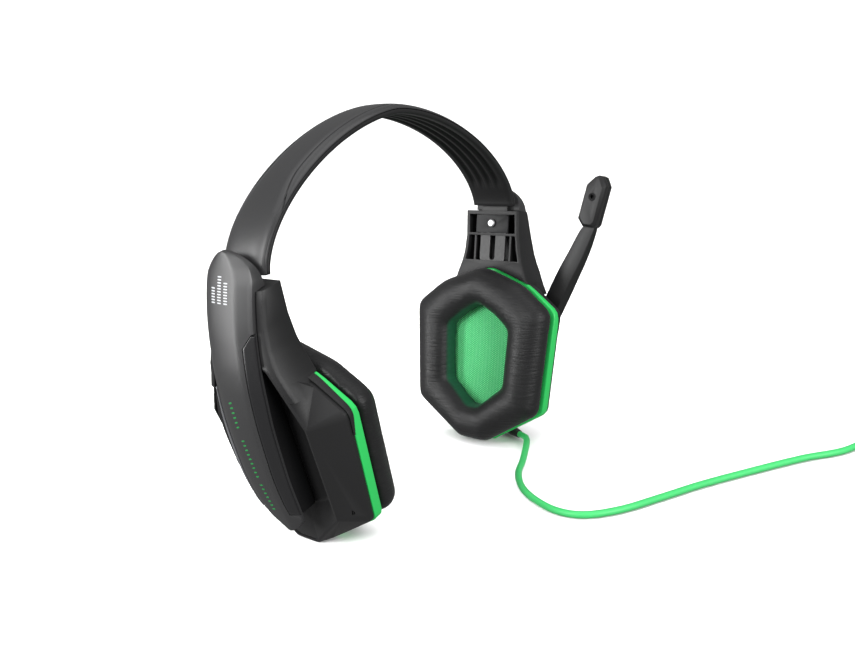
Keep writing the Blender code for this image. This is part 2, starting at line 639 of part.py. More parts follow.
    hooped(tag + "_cushion_plate", [
        loop_at(side, cup_flat(RING_WIDTH + 0.8 * MM), plate_low, 2.0 * MM),
        loop_at(side, cup_flat(RING_WIDTH + 0.8 * MM), -1.4 * MM, 2.0 * MM),
        loop_at(side, ear_flat(-3.6 * MM - GAP), -1.4 * MM),
        loop_at(side, ear_flat(-3.6 * MM - GAP), -0.6 * MM),
        loop_at(side, ear_flat(-0.4 * MM), -0.6 * MM),
        loop_at(side, ear_flat(-0.4 * MM), plate_low)], BLACK)
    lofted(tag + "_cloth_screen", [loop_at(side, seat_flat, -0.9 * MM),
                                   loop_at(side, seat_flat, -1.4 * MM)], MESH)
    cup = cup_flat(0.0)
    ear = ear_flat(0.0)
    profile = [(0.10, -1.7), (0.05, -4.0), (0.03, -6.5), (0.06, -8.6), (0.13, -10.6),
               (0.22, -12.3), (0.33, -13.8), (0.46, -14.8), (0.60, -15.0), (0.74, -14.4),
               (0.87, -12.8), (0.96, -10.0), (1.0, -6.5), (1.0, -1.7)]
    depth = CUSHION_DEPTH / (15.0 * MM)
    hooped(tag + "_ear_cushion", [
        loop_at(side, blend(cup, ear, t), n * MM * depth, 1.0 * MM) for t, n in profile], SOFT)

    # guide plate and guide screw
    plate = lofted(tag + "_guide_plate", [
        [cup_point(side, u, v, n) for u, n in
         ((-10.2 * MM, -1.3 * MM), (10.2 * MM, -1.3 * MM), (10.2 * MM, -0.2 * MM),
          (-10.2 * MM, -0.2 * MM))]
        for v in (RIB_V + 0.6 * MM + GAP, ARM_TOP_V - 2.0 * MM - GAP)], PANEL)
    guide = on_cup(side, 0.0, GUIDE_V)
    boolean(plate, bar(tag + "_plate_hole", guide, SCREW_RADIUS + GAP, -4.0 * MM, 3.0 * MM))
    head = -1.3 * MM - GAP
    turned(tag + "_guide_screw", guide, [
        (0.0, 8.0 * MM), (SCREW_RADIUS, 8.0 * MM), (SCREW_RADIUS, head), (2.2 * MM, head),
        (2.1 * MM, head - 0.9 * MM), (1.5 * MM, head - 1.3 * MM), (0.0, head - 1.3 * MM)],
        STEEL, 16)
    return housing


# ---- headband ------------------------------------------------------------------------
def arch(angle, offset):
    """Point and outward direction on the arch, offset from the inner face."""
    def at(a):
        c = max(math.cos(a), 0.0) if a <= math.pi / 2 else min(math.cos(a), 0.0)
        s = max(math.sin(a), 0.0)
        x = math.copysign(abs(c) ** BAND_POWER, c) * BAND_HALF_SPAN
        return Vector((x, 0.0, BAND_END_Z + s ** BAND_POWER * BAND_RISE))
    step = 0.004
    a0 = max(angle - step, 0.0)
    a1 = min(angle + step, math.pi)
    run = (at(a1) - at(a0)).normalized()
    if angle <= 0.0:
        run = Vector((0.0, 0.0, 1.0))
    elif angle >= math.pi:
        run = Vector((0.0, 0.0, -1.0))
    out = Vector((run.z, 0.0, -run.x))
    return at(angle) + out * offset


def arch_angles(z_start, count):
    """Angles with even spacing along the arch, both ends at height z_start above the ends."""
    first = math.asin((z_start / BAND_RISE) ** (1.0 / BAND_POWER)) if z_start > 0 else 0.0
    fine = [first + (math.pi - 2 * first) * i / 600 for i in range(601)]
    pts = [arch(a, 0.0) for a in fine]
    run = [0.0]
    for p, q in zip(pts, pts[1:]):
        run.append(run[-1] + (q - p).length)
    out = []
    for k in range(count + 1):
        want = run[-1] * k / count
        j = min(range(len(run)), key=lambda i: abs(run[i] - want))
        out.append(fine[j])
    out[0] = first
    out[-1] = math.pi - first
    return out


def band_sweep(name, section, angles, look=None):
    """Sweep a section of (y, offset) along the arch; section may vary with the height."""
    loops = []
    for a in angles:
        height = arch(a, 0.0).z - BAND_END_Z
        loop = []
        for y, r in section(height):
            p = arch(a, r)
            loop.append(Vector((p.x, y, p.z)))
        loops.append(loop)
    return lofted(name, loops, look)


W = BAND_HALF_WIDTH
SEAM = BAND_SPLIT + GAP


def outer_section(height):
    """Cover with side walls and a slightly crowned top."""
    wall = 1.4 * MM
    roof = BAND_THICK - BAND_SKIN
    top = [(W, SEAM), (W, BAND_THICK - 1.6 * MM), (W - 0.7 * MM, BAND_THICK - 0.8 * MM),
           (W - 2.6 * MM, BAND_THICK - 0.3 * MM)]
    return ([(-y, r) for y, r in top] + [(0.0, BAND_THICK)] + list(reversed(top))
            + [(W - wall, SEAM), (W - wall, roof), (-W + wall, roof), (-W + wall, SEAM)])


def inner_section(height):
    """Pad side of the band: four grooves that run out above the band's ends."""
    depth = table([(RIB_START, 0.0), (RIB_START + 3.0 * MM, RIB_DEPTH)], height)
    low = [(-W, BAND_SPLIT), (-W, 0.9 * MM), (-W + 0.8 * MM, 0.15 * MM)]
    under = []
    for k in range(RIBS):
        y = (k - (RIBS - 1) / 2) * RIB_PITCH
        under += [(y - RIB_HALF, 0.0), (y - 0.6 * RIB_HALF, depth), (y + 0.6 * RIB_HALF, depth),
                  (y + RIB_HALF, 0.0)]
    return low + under + [(-y, r) for y, r in reversed(low)]


def spring_section(height):
    return [(-9.0 * MM, SEAM), (9.0 * MM, SEAM), (9.0 * MM, SEAM + 0.6 * MM),
            (-9.0 * MM, SEAM + 0.6 * MM)]


BAND_STATIONS = 34
BAND_ANGLES = arch_angles(0.0, BAND_STATIONS)
band_sweep("band_outer_shell", outer_section, BAND_ANGLES, GREY)
band_sweep("band_inner_cover", inner_section, BAND_ANGLES, BLACK)
band_sweep("band_spring", spring_section, BAND_ANGLES[3:-3], STEEL)


def build_tongue(side, tag):
    """Strip fixed in the band's end; the arm slides on it."""
    path = []
    for v in (TONGUE_LOW_V, TONGUE_LOW_V + 4.0 * MM, 77.0 * MM):
        p = cup_point(side, 0.0, v, TONGUE_N)
        path.append((p, Vector((side * math.cos(TOE_IN), 0.0, -math.sin(TOE_IN)))))
    for k in range(3):
        angle = BAND_ANGLES[k] if side > 0 else math.pi - BAND_ANGLES[k]
        middle = (SEAM + BAND_THICK - BAND_SKIN) / 2
        low = arch(angle, middle - 0.5 * MM)
        high = arch(angle, middle + 0.5 * MM)
        path.append(((low + high) / 2, (high - low).normalized()))
    loops = []
    for k, (p, out) in enumerate(path):
        half = TONGUE_HALF_WIDTH - (1.2 * MM if k == 0 else 0.0)
        thick = TONGUE_THICK if k < 3 else TONGUE_THICK * 0.85
        loops.append([p + Vector((0, -half, 0)) - out * (thick / 2),
                      p + Vector((0, half, 0)) - out * (thick / 2),
                      p + Vector((0, half, 0)) + out * (thick / 2),
                      p + Vector((0, -half, 0)) + out * (thick / 2)])
    tongue = lofted(tag + "_tongue", loops, STEEL)
    slot_half = SCREW_RADIUS + SLIDE_GAP
    low = GUIDE_V - SLIDE_TRAVEL
    flat = rounded([(-slot_half, low - slot_half), (slot_half, low - slot_half),
                    (slot_half, GUIDE_V + slot_half), (-slot_half, GUIDE_V + slot_half)],
                   [slot_half * 0.98] * 4, 3)
    boolean(tongue, lofted(tag + "_tongue_slot", [
        [cup_point(side, q.x, q.y, -4.0 * MM) for q in flat],
        [cup_point(side, q.x, q.y, 5.0 * MM) for q in flat]]))


for side, tag in ((RIGHT, "right"), (LEFT, "left")):
    build_tongue(side, tag)
right_housing = build_cup(RIGHT, "right")
left_housing = build_cup(LEFT, "left")

# ---- microphone on the left cup ------------------------------------------------------
pivot = on_cup(LEFT, PIVOT_U, PIVOT_V)
pin = SCREW_RADIUS + 0.2 * MM
pivot_hole = bar("mic_pivot_hole", pivot, pin + GAP, POCKET_N - 5.0 * MM, BOOM_N + 8.0 * MM)
boolean(left_housing, pivot_hole)
hub = bar("mic_hub", pivot, HUB_RADIUS, POCKET_N + GAP, BOOM_N - GAP, BLACK, 28)
boolean(hub, pivot_hole)

boom_stops = scaled([(6.0, 15.6), (13.5, 17.8), (25.0, 21.2), (34.0, 24.7), (47.5, 31.0),
                     (59.0, 37.2), (66.0, 40.8), (69.6, 42.8)])
BOOM_WIDE = scaled([(6, 8.4), (13.5, 9.2), (25, 10.2), (34, 10.4), (47.5, 10.6), (59, 9.6),
                    (69.6, 8.0)])
BOOM_SLOPE = scaled([(6, 0.6), (13.5, 1.8), (34, 2.8), (47.5, 2.1), (59, 1.4), (69.6, 0.4)])
BOOM_DEPTH = scaled([(6, 2.6), (13.5, 3.6), (34, 4.6), (59, 4.4), (69.6, 4.0)])
STEM_STOPS = scaled([(69.9, 46.8), (73.0, 47.4), (76.0, 48.0)])
STEM_HALF = 2.3 * MM
loops = []
for v, rear in boom_stops:
    front = rear + table(BOOM_WIDE, v)
    lean = table(BOOM_SLOPE, v)
    deep = table(BOOM_DEPTH, v)
    section = [(rear, 0.0), (front, 0.0), (front + lean, 0.75 * deep),
               (front + lean - 0.8 * MM, deep), (rear + 1.2 * MM, deep), (rear, 0.6 * deep)]
    loops.append([cup_point(LEFT, u, v + PIVOT_V, BOOM_N + n) for u, n in section])
for v, middle in STEM_STOPS:
    section = [(-STEM_HALF, 0.0), (STEM_HALF, 0.0), (STEM_HALF, 2.2 * MM),
               (STEM_HALF - 0.8 * MM, 2.8 * MM), (0.8 * MM - STEM_HALF, 2.8 * MM),
               (-STEM_HALF, 2.2 * MM)]
    loops.append([cup_point(LEFT, middle + u, v + PIVOT_V, BOOM_N + n) for u, n in section])
boom = lofted("mic_boom", loops, BLACK)
boom_eye = bar("mic_boom_eye", pivot, HUB_RADIUS, BOOM_N, BOOM_N + BOOM_THICK - 0.2 * MM,
               segments=28)
boom_neck = lofted("mic_boom_neck", [
    [cup_point(LEFT, PIVOT_U + u * MM, PIVOT_V + v * MM, n) for u, v in
     ((-3.9, 3.6), (3.6, -3.9), (9.3, 6.2), (1.3, 10.6))]
    for n in (BOOM_N, BOOM_N + BOOM_THICK - 0.35 * MM)])
boolean(boom, boom_eye, "UNION")
boolean(boom, boom_neck, "UNION")
boolean(boom, pivot_hole)
screw_top = BOOM_N + BOOM_THICK + GAP
turned("mic_pivot_screw", pivot, [
    (0.0, screw_top + 1.4 * MM), (2.6 * MM, screw_top + 1.4 * MM), (3.3 * MM, screw_top + 0.9 * MM),
    (3.3 * MM, screw_top), (pin, screw_top), (pin, POCKET_N - 4.4 * MM),
    (0.0, POCKET_N - 4.4 * MM)], STEEL, 20)
nut_top = POCKET_N - FLOOR_WALL - GAP
turned("mic_pivot_nut", pivot, [(3.0 * MM, nut_top), (3.0 * MM, nut_top - 2.0 * MM),
                                (pin + GAP, nut_top - 2.0 * MM), (pin + GAP, nut_top)],
       STEEL, 6, ring=True)

HEAD_TILT = math.radians(13.0)
HEAD_AT = (PIVOT_U + 30.6 * MM, PIVOT_V + 84.0 * MM)
HEAD_HALF = 13.6 * MM
HEAD_SPLIT_N = BOOM_N + 1.6 * MM


def head_point(across, along, n):
    u = HEAD_AT[0] + across * math.cos(HEAD_TILT) + along * math.sin(HEAD_TILT)
    v = HEAD_AT[1] - across * math.sin(HEAD_TILT) + along * math.cos(HEAD_TILT)
    return cup_point(LEFT, u, v, n)


def head_outline(shrink):
    """Six-sided outline of the microphone head, (across, along)."""
    w = 5.6 * MM - shrink
    h = HEAD_HALF - shrink
    return [(-w, -h + 3.2 * MM), (-w + 3.6 * MM, -h), (w - 1.0 * MM, -h + 0.6 * MM),
            (w, -h + 2.4 * MM), (w, h - 4.6 * MM), (w - 3.2 * MM, h - 0.4 * MM),
            (w - 5.4 * MM, h), (-w, h - 6.2 * MM)]


def head_half(name, n_seam, n_face, chamfer, look):
    towards = 1.0 if n_face > n_seam else -1.0
    shell = lofted(name, [
        [head_point(a, b, n_seam) for a, b in head_outline(0.0)],
        [head_point(a, b, n_face - towards * chamfer) for a, b in head_outline(0.0)],
        [head_point(a, b, n_face) for a, b in head_outline(chamfer * 0.8)]], look)
    inside = lofted(name + "_cut", [
        [head_point(a, b, n_seam - towards * 1.0 * MM) for a, b in head_outline(1.3 * MM)],
        [head_point(a, b, n_face - towards * 1.5 * MM) for a, b in head_outline(1.6 * MM)]])
    boolean(shell, inside)
    return shell


front_half = head_half("mic_head_inner", HEAD_SPLIT_N - GAP / 2, HEAD_SPLIT_N - 4.8 * MM,
                       1.6 * MM, BLACK)
back_half = head_half("mic_head_outer", HEAD_SPLIT_N + GAP / 2, HEAD_SPLIT_N + 4.6 * MM,
                      1.6 * MM, BLACK)
stem = lofted("mic_stem_cut", [
    [p + (p - sum(loop, Vector()) / len(loop)).normalized() * 0.45 * MM for p in loop]
    for loop in loops[-3:]] + [
    [p + (p - sum(loops[-1], Vector()) / 6).normalized() * 0.45 * MM
     + (sum(loops[-1], Vector()) - sum(loops[-2], Vector())).normalized() * 0.6 * MM
     for p in loops[-1]]])
boolean(front_half, stem)
boolean(back_half, stem)
port_at = head_point(0.0, 2.2 * MM, 0.0)


def head_frame():
    frame = on_cup(LEFT, 0.0, 0.0)
    frame.translation = port_at
    return frame


boolean(front_half, bar("mic_port_cut", head_frame(), 1.1 * MM,
                        HEAD_SPLIT_N - 9.0 * MM, HEAD_SPLIT_N - 1.0 * MM, segments=14))
bar("mic_capsule", head_frame(), 3.0 * MM, HEAD_SPLIT_N - 2.9 * MM, HEAD_SPLIT_N - 0.4 * MM,
    STEEL, 16)

# ---- cord ----------------------------------------------------------------------------
EXIT_N = 9.0 * MM
EXIT_U = 13.6 * MM
EXIT_HEIGHT = 3.1 * MM
exit_v = floor_v(EXIT_N, EXIT_HEIGHT)
exit_at = cup_point(LEFT, EXIT_U, exit_v, EXIT_N)
exit_run = Vector((-0.42, -0.90, 0.0)).normalized()


def along(start, run):
    """Placement with local Z along run."""
    z = run.normalized()
    x = Vector((z.y, -z.x, 0.0)).normalized()
    return placed(x, z.cross(x), z, start)


RELIEF_RADIUS = 2.6 * MM
exit_frame = along(exit_at, exit_run)
boolean(left_housing, bar("relief_hole", exit_frame, RELIEF_RADIUS + GAP, -5.2 * MM, 8.0 * MM))
relief = turned("cord_relief", exit_frame, [
    (0.0, 6.4 * MM), (RELIEF_RADIUS - 0.2 * MM, 6.4 * MM), (RELIEF_RADIUS - 0.1 * MM, 2.4 * MM),
    (RELIEF_RADIUS, 1.6 * MM), (RELIEF_RADIUS, -4.8 * MM), (0.0, -4.8 * MM)], RUBBER, 16)
boolean(relief, bar("relief_bore", exit_frame, CORD_RADIUS + GAP, 1.0 * MM, 9.0 * MM))


def smooth_path(points, spacing):
    """Even points along a Catmull-Rom curve through the given ones."""
    pts = [Vector(p) for p in points]
    ends = [pts[0] * 2 - pts[1]] + pts + [pts[-1] * 2 - pts[-2]]
    fine = []
    for i in range(1, len(ends) - 2):
        p0, p1, p2, p3 = ends[i - 1:i + 3]
        for s in range(40):
            t = s / 40
            fine.append(0.5 * ((2 * p1) + (p2 - p0) * t + (2 * p0 - 5 * p1 + 4 * p2 - p3) * t * t
                               + (3 * p1 - p0 - 3 * p2 + p3) * t * t * t))
    fine.append(pts[-1])
    run = [0.0]
    for p, q in zip(fine, fine[1:]):
        run.append(run[-1] + (q - p).length)
    count = max(2, round(run[-1] / spacing))
    out = []
    j = 0
    for k in range(count + 1):
        want = run[-1] * k / count
        while j < len(run) - 2 and run[j + 1] < want:
            j += 1
        t = (want - run[j]) / max(run[j + 1] - run[j], 1e-9)
        out.append(fine[j].lerp(fine[j + 1], min(max(t, 0.0), 1.0)))
    return out


def tube(name, points, radius, look):
    curve = bpy.data.curves.new(name, "CURVE")
    curve.dimensions = "3D"
    curve.bevel_depth = radius
    curve.bevel_resolution = 2
    curve.use_fill_caps = True
    spline = curve.splines.new("POLY")
    spline.points.add(len(points) - 1)
    for point, p in zip(spline.points, points):
        point.co = (*p, 1.0)
    thing = bpy.data.objects.new(name, curve)
    parts.objects.link(thing)
    curve.materials.append(material(name + "_" + look[0], *look[1:]))
    return thing


LAY = CORD_RADIUS + 0.1 * MM
COIL_Z = COIL_SECTION + 1.6 * MM
start = exit_at + exit_run * 1.4 * MM
coil_x, coil_y = COIL_AT
lead = [start, start + exit_run * 7.0 * MM, start + exit_run * 14.0 * MM + Vector((0, 0, -0.6 * MM))]
lead += [Vector((x * MM, y * MM, LAY)) for x, y in (
    (41, -39), (26, -46), (13, -57), (5, -70), (1, -84), (4, -96), (16, -107), (34, -116.5),
    (56, -127.5), (82, -143), (104, -157), (126, -173))]
ring_out = COIL_RADIUS + COIL_SECTION
touch = Vector((coil_x - (ring_out + CORD_RADIUS + GAP) * 0.50,
                coil_y + (ring_out + CORD_RADIUS + GAP) * 0.866, LAY))
lead.append(touch)
cord_points = smooth_path(lead, 5.0 * MM)
tube("cord", cord_points, CORD_RADIUS, CORD)

coil_frame = Matrix.Translation((coil_x, coil_y, COIL_Z))
TURNS = 30
turned("cord_coil", coil_frame, [
    (COIL_RADIUS + COIL_SECTION * math.cos(b), COIL_SECTION * math.sin(b))
    for b in (math.pi / 2 - 2 * math.pi * j / 10 for j in range(10))], CORD, TURNS, ring=True)

TIE_ANGLE = math.radians(200.0)
TIE_HALF = math.radians(10.0)
tie_loops = []
for a, reach in ((-TIE_HALF, 0.6), (-TIE_HALF, 1.3), (0.0, 1.3), (TIE_HALF, 1.3),
                 (TIE_HALF, 0.6), (0.0, 0.6)):
    loop = []
    for j in range(16):
        b = 2 * math.pi * j / 16
        r = COIL_RADIUS + (COIL_SECTION + reach * MM) * math.cos(b)
        z = COIL_Z + (COIL_SECTION + reach * MM) * math.sin(b)
        loop.append(Vector((coil_x + r * math.cos(TIE_ANGLE + a),
                            coil_y + r * math.sin(TIE_ANGLE + a), z)))
    tie_loops.append(loop)
hooped("cord_tie", tie_loops, RUBBER)

# free end: leaves the far side of the coil and lies beside it with the plug
tail_start = Vector((coil_x + (ring_out + CORD_RADIUS + GAP), coil_y + 4.0 * MM, LAY))
PLUG_RADIUS = 4.0 * MM
plug_run = Vector((-0.80, -0.60, 0.0)).normalized()
plug_at = Vector((coil_x + 12.0 * MM, coil_y - 41.0 * MM, PLUG_RADIUS + 0.1 * MM))
tail = [tail_start, tail_start + Vector((0.6 * MM, -10.0 * MM, 0.0)),
        tail_start + Vector((-1.0 * MM, -22.0 * MM, 0.0)),
        plug_at - plug_run * 9.0 * MM + Vector((0, 0, LAY - plug_at.z)) * 0.5,
        plug_at - plug_run * 0.2 * MM]
tube("cord_tail", smooth_path(tail, 4.2 * MM), CORD_RADIUS, CORD)
plug_frame = along(plug_at, plug_run)
plug = turned("plug_body", plug_frame, [
    (0.0, 24.0 * MM), (3.2 * MM, 24.0 * MM), (PLUG_RADIUS, 22.6 * MM), (PLUG_RADIUS, 9.0 * MM),
    (3.0 * MM, 6.0 * MM), (2.4 * MM, 0.0), (0.0, 0.0)], RUBBER, 18)
PIN_RADIUS = 1.75 * MM
boolean(plug, bar("plug_bore", plug_frame, PIN_RADIUS + GAP, 18.0 * MM, 26.0 * MM))
boolean(plug, bar("plug_cord_bore", plug_frame, CORD_RADIUS + GAP, -2.0 * MM, 1.0 * MM))
turned("jack_pin", plug_frame, [
    (0.0, 39.0 * MM), (0.9 * MM, 38.4 * MM), (PIN_RADIUS, 36.4 * MM), (1.2 * MM, 35.4 * MM),
    (PIN_RADIUS, 34.6 * MM), (PIN_RADIUS, 18.4 * MM), (0.0, 18.4 * MM)], GOLD, 16)

# ---- what moves hangs on an empty on its joint's axis --------------------------------
for name, place, members in (
        ("right_arm_slide_axis", cup_point(RIGHT, 0.0, GUIDE_V, 0.0), ("right_",)),
        ("left_arm_slide_axis", cup_point(LEFT, 0.0, GUIDE_V, 0.0), ("left_",)),
        ("mic_hinge_axis", cup_point(LEFT, PIVOT_U, PIVOT_V, BOOM_N), ("mic_hub", "mic_boom", "mic_head",
                                                                      "mic_capsule"))):
    axis = bpy.data.objects.new(name, None)
    axis.empty_display_size = 0.01
    axis.location = place
    parts.objects.link(axis)
    for thing in list(parts.objects):
        if thing.type != "EMPTY" and thing.name.startswith(members) and "tongue" not in thing.name:
            thing.parent = axis
            thing.matrix_parent_inverse = Matrix.Translation(place).inverted()
for thing in bpy.data.objects:
    if thing.parent is None:
        thing.location += TO_ORIGIN
for thing in parts.objects:
    if thing.type == "MESH":
        thing.data.shade_smooth()
        thing.data.set_sharp_from_angle(angle=math.radians(32.0))
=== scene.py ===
# %% [markdown]
# # A gaming headset, finished
# The mechanical model already has every piece at its true size. This script gives each visible
# piece its final surface: rounded edges, moulded grain, leather, cloth and printed marks. It
# starts by loading that model, and every piece made here rides on one of its moving bodies.

# %% Load the mechanical model
import math
import bmesh
import bpy
import numpy as np
from mathutils import Matrix, Vector


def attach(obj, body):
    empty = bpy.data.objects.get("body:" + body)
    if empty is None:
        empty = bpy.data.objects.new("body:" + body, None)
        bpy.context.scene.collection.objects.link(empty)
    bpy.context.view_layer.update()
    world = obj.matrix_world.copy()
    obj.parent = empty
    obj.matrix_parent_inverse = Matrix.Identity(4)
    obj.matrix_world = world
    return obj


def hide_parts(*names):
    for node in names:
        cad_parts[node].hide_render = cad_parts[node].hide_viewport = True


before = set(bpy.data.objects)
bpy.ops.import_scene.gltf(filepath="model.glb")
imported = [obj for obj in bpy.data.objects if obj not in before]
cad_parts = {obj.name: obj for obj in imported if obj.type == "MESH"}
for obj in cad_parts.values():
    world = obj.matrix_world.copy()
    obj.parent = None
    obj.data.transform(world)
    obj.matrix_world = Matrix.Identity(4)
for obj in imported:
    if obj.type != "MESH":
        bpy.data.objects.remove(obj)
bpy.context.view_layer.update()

MM = 0.001
RIGHT = -1.0
LEFT = 1.0
SIDES = ((RIGHT, "right"), (LEFT, "left"))

# %% [markdown]
# ## Where things are
# Each cup leans, so its details are easier to place in the cup's own directions: u runs forward,
# v up the cup and n outward from the seam between the cushion and the shell.

# %% The cup's own directions
MIDDLE = Vector((-6.4 * MM, 7.65 * MM, 0.0))
TOE_IN = math.radians(12.3)
CUP_X = 68.7 * MM
CUP_Z = 45.6 * MM


def cup_point(side, u, v, n):
    """World point of (u, v, n) in metres on the cup of that side."""
    return MIDDLE + Vector((side * (CUP_X + v * math.sin(TOE_IN) + n * math.cos(TOE_IN)), -u,
                            CUP_Z + v * math.cos(TOE_IN) - n * math.sin(TOE_IN)))


def station(side, v, section):
    """World points of a cross-section, its (u, n) pairs all at one v."""
    return [cup_point(side, u, v, n) for u, n in section]


def cup_dir(side, u, v, n):
    return cup_point(side, u, v, n) - cup_point(side, 0.0, 0.0, 0.0)


def table(rows, x):
    """Straight-line reading of (x, value) rows."""
    if x <= rows[0][0]:
        return rows[0][1]
    for (a, p), (b, q) in zip(rows, rows[1:]):
        if x <= b:
            return p + (q - p) * (x - a) / (b - a)
    return rows[-1][1]


print("left cup centre", [round(c, 4) for c in cup_point(LEFT, 0, 0, 0)])

# %% [markdown]
# ## Camera
# A slightly long lens held close to the product, a little above it and turned to look at the
# outside of one cup and the inside of the other. The small roll is part of the pose.

# %% Place the camera
AZIMUTH = math.radians(-49.59)
ELEVATION = math.radians(15.6)
ROLL = math.radians(-5.21)
AIM = Vector((20.8 * MM, 0.0, 69.6 * MM)) + MIDDLE
REACH = 445.6 * MM
back = Vector((math.sin(AZIMUTH) * math.cos(ELEVATION),
               -math.cos(AZIMUTH) * math.cos(ELEVATION), math.sin(ELEVATION)))
flat = Vector((math.cos(AZIMUTH), math.sin(AZIMUTH), 0.0))
rise = back.cross(flat)
across = math.cos(ROLL) * flat + math.sin(ROLL) * rise
up = -math.sin(ROLL) * flat + math.cos(ROLL) * rise
lens = bpy.data.cameras.new("camera")
lens.lens = 37.49
lens.sensor_width = 36.0
lens.clip_start = 0.02
camera = bpy.data.objects.new("camera", lens)
pose = Matrix((across, up, back)).transposed().to_4x4()
pose.translation = AIM + back * REACH
camera.matrix_world = pose
bpy.context.scene.collection.objects.link(camera)
bpy.context.scene.camera = camera
print("camera at", [round(c, 4) for c in camera.location])

# %% [markdown]
# ## Floor and light
# Black plastic needs large, soft light sources: what reads as "form" on a black object is mostly
# the reflection of the lamp. One big panel overhead, two from the left that draw the long
# highlight on the blade, and one from the right for the leather.

# %% Build the studio
def face_outward(mesh):
    work = bmesh.new()
    work.from_mesh(mesh)
    bmesh.ops.recalc_face_normals(work, faces=work.faces)
    work.to_mesh(mesh)
    work.free()


def new_mesh(name, points, faces):
    """Object from points and faces, with its normals turned outward."""
    mesh = bpy.data.meshes.new(name)
    mesh.from_pydata([tuple(p) for p in points], [], faces)
    face_outward(mesh)
    thing = bpy.data.objects.new(name, mesh)
    bpy.context.scene.collection.objects.link(thing)
    return thing


FLOOR_REACH = 60.0
FLOOR_Z = -0.0004
floor = new_mesh("floor", [(x * FLOOR_REACH, y * FLOOR_REACH, FLOOR_Z)
                           for x, y in ((-1, -1), (1, -1), (1, 1), (-1, 1))], [(0, 1, 2, 3)])
white = bpy.data.materials.new("floor_white")
white.use_nodes = True
matt = white.node_tree.nodes["Principled BSDF"]
matt.inputs["Base Color"].default_value = (0.9, 0.9, 0.9, 1.0)
matt.inputs["Roughness"].default_value = 0.95
matt.inputs["Specular IOR Level"].default_value = 0.0
floor.data.materials.append(white)
floor.visible_glossy = False
floor.visible_diffuse = False


def lamp(name, place, aim, size, power):
    light = bpy.data.lights.new(name, "AREA")
    light.shape = "RECTANGLE"
    light.size, light.size_y = size
    light.energy = power
    thing = bpy.data.objects.new(name, light)
    thing.location = place
    thing.rotation_euler = (Vector(aim) - Vector(place)).to_track_quat("-Z", "Y").to_euler()
    bpy.context.scene.collection.objects.link(thing)


lamp("overhead", (0.05, -0.05, 1.2), (0.0, 0.0, 0.0), (1.0, 1.0), 4.0)
lamp("key_left", (-1.05, 0.10, 0.62), (-0.05, 0.0, 0.13), (0.30, 0.5), 8.0)
lamp("rim_left", (-0.80, 0.66, 0.22), (-0.10, 0.0, 0.10), (0.22, 0.8), 9.5)
lamp("fill_right", (-0.25, -1.15, 0.45), (0.05, 0.0, 0.06), (0.7, 0.5), 10.0)

# the floor has its own soft sun, so it stays white while the plastics stay dark
lit_floor = bpy.data.collections.new("lit_floor")
lit_floor.objects.link(floor)
sky = bpy.data.lights.new("floor_light", "SUN")
sky.energy = 4.4
sky.angle = math.radians(100.0)
sky_lamp = bpy.data.objects.new("floor_light", sky)
bpy.context.scene.collection.objects.link(sky_lamp)
sky_lamp.light_linking.receiver_collection = lit_floor

world = bpy.data.worlds.new("studio")
world.use_nodes = True
tree = world.node_tree
room = tree.nodes["Background"]
room.inputs["Color"].default_value = (1.0, 1.0, 1.0, 1.0)
room.inputs["Strength"].default_value = 0.28
wall = tree.nodes.new("ShaderNodeBackground")
wall.inputs["Color"].default_value = (1.0, 1.0, 1.0, 1.0)
wall.inputs["Strength"].default_value = 1.1
ray = tree.nodes.new("ShaderNodeLightPath")
both = tree.nodes.new("ShaderNodeMixShader")
tree.links.new(ray.outputs["Is Camera Ray"], both.inputs[0])
tree.links.new(room.outputs[0], both.inputs[1])
tree.links.new(wall.outputs[0], both.inputs[2])
tree.links.new(both.outputs[0], tree.nodes["World Output"].inputs["Surface"])
bpy.context.scene.world = world
bpy.context.scene.view_settings.view_transform = "Standard"

# %% [markdown]
# ## Cord
# The cord is a soft plastic lead, 3.4 mm thick and 2.0 m long. It leaves the left cup at its
# lower front, drops to the table and runs off to the side in one loose curve. The rest is wound
# as it would be in its box: twelve turns in a round coil under a tie, with the plug beside it.

# %% Route of the cord
CORD_RADIUS = 1.7 * MM
COIL_RADIUS = 20.5 * MM
COIL_SECTION = 7.7 * MM
COIL_AT = (178.0 * MM, -205.0 * MM)
COIL_Z = COIL_SECTION + 1.6 * MM
GAP = 0.3 * MM
EXIT_N = 9.0 * MM
EXIT_U = 13.6 * MM
EXIT_HEIGHT = 3.1 * MM
LAY = CORD_RADIUS + 0.1 * MM


def distances(points):
    """Length along the points up to each one."""
    run = [0.0]
    for p, q in zip(points, points[1:]):
        run.append(run[-1] + (q - p).length)
    return run


def smooth_path(points, spacing):
    """Even points along a Catmull-Rom curve through the given ones."""
    pts = [Vector(p) for p in points]
    ends = [pts[0] * 2 - pts[1]] + pts + [pts[-1] * 2 - pts[-2]]
    fine = []
    for i in range(1, len(ends) - 2):
        p0, p1, p2, p3 = ends[i - 1:i + 3]
        for s in range(24):
            t = s / 24
            fine.append(0.5 * ((2 * p1) + (p2 - p0) * t + (2 * p0 - 5 * p1 + 4 * p2 - p3) * t * t
                               + (3 * p1 - p0 - 3 * p2 + p3) * t * t * t))
    fine.append(pts[-1])
    run = distances(fine)
    count = max(2, round(run[-1] / spacing))
    out = []
    j = 0
    for k in range(count + 1):
        want = run[-1] * k / count
        while j < len(run) - 2 and run[j + 1] < want:
            j += 1
        t = (want - run[j]) / max(run[j + 1] - run[j], 1e-9)
        out.append(fine[j].lerp(fine[j + 1], min(max(t, 0.0), 1.0)))
    return out


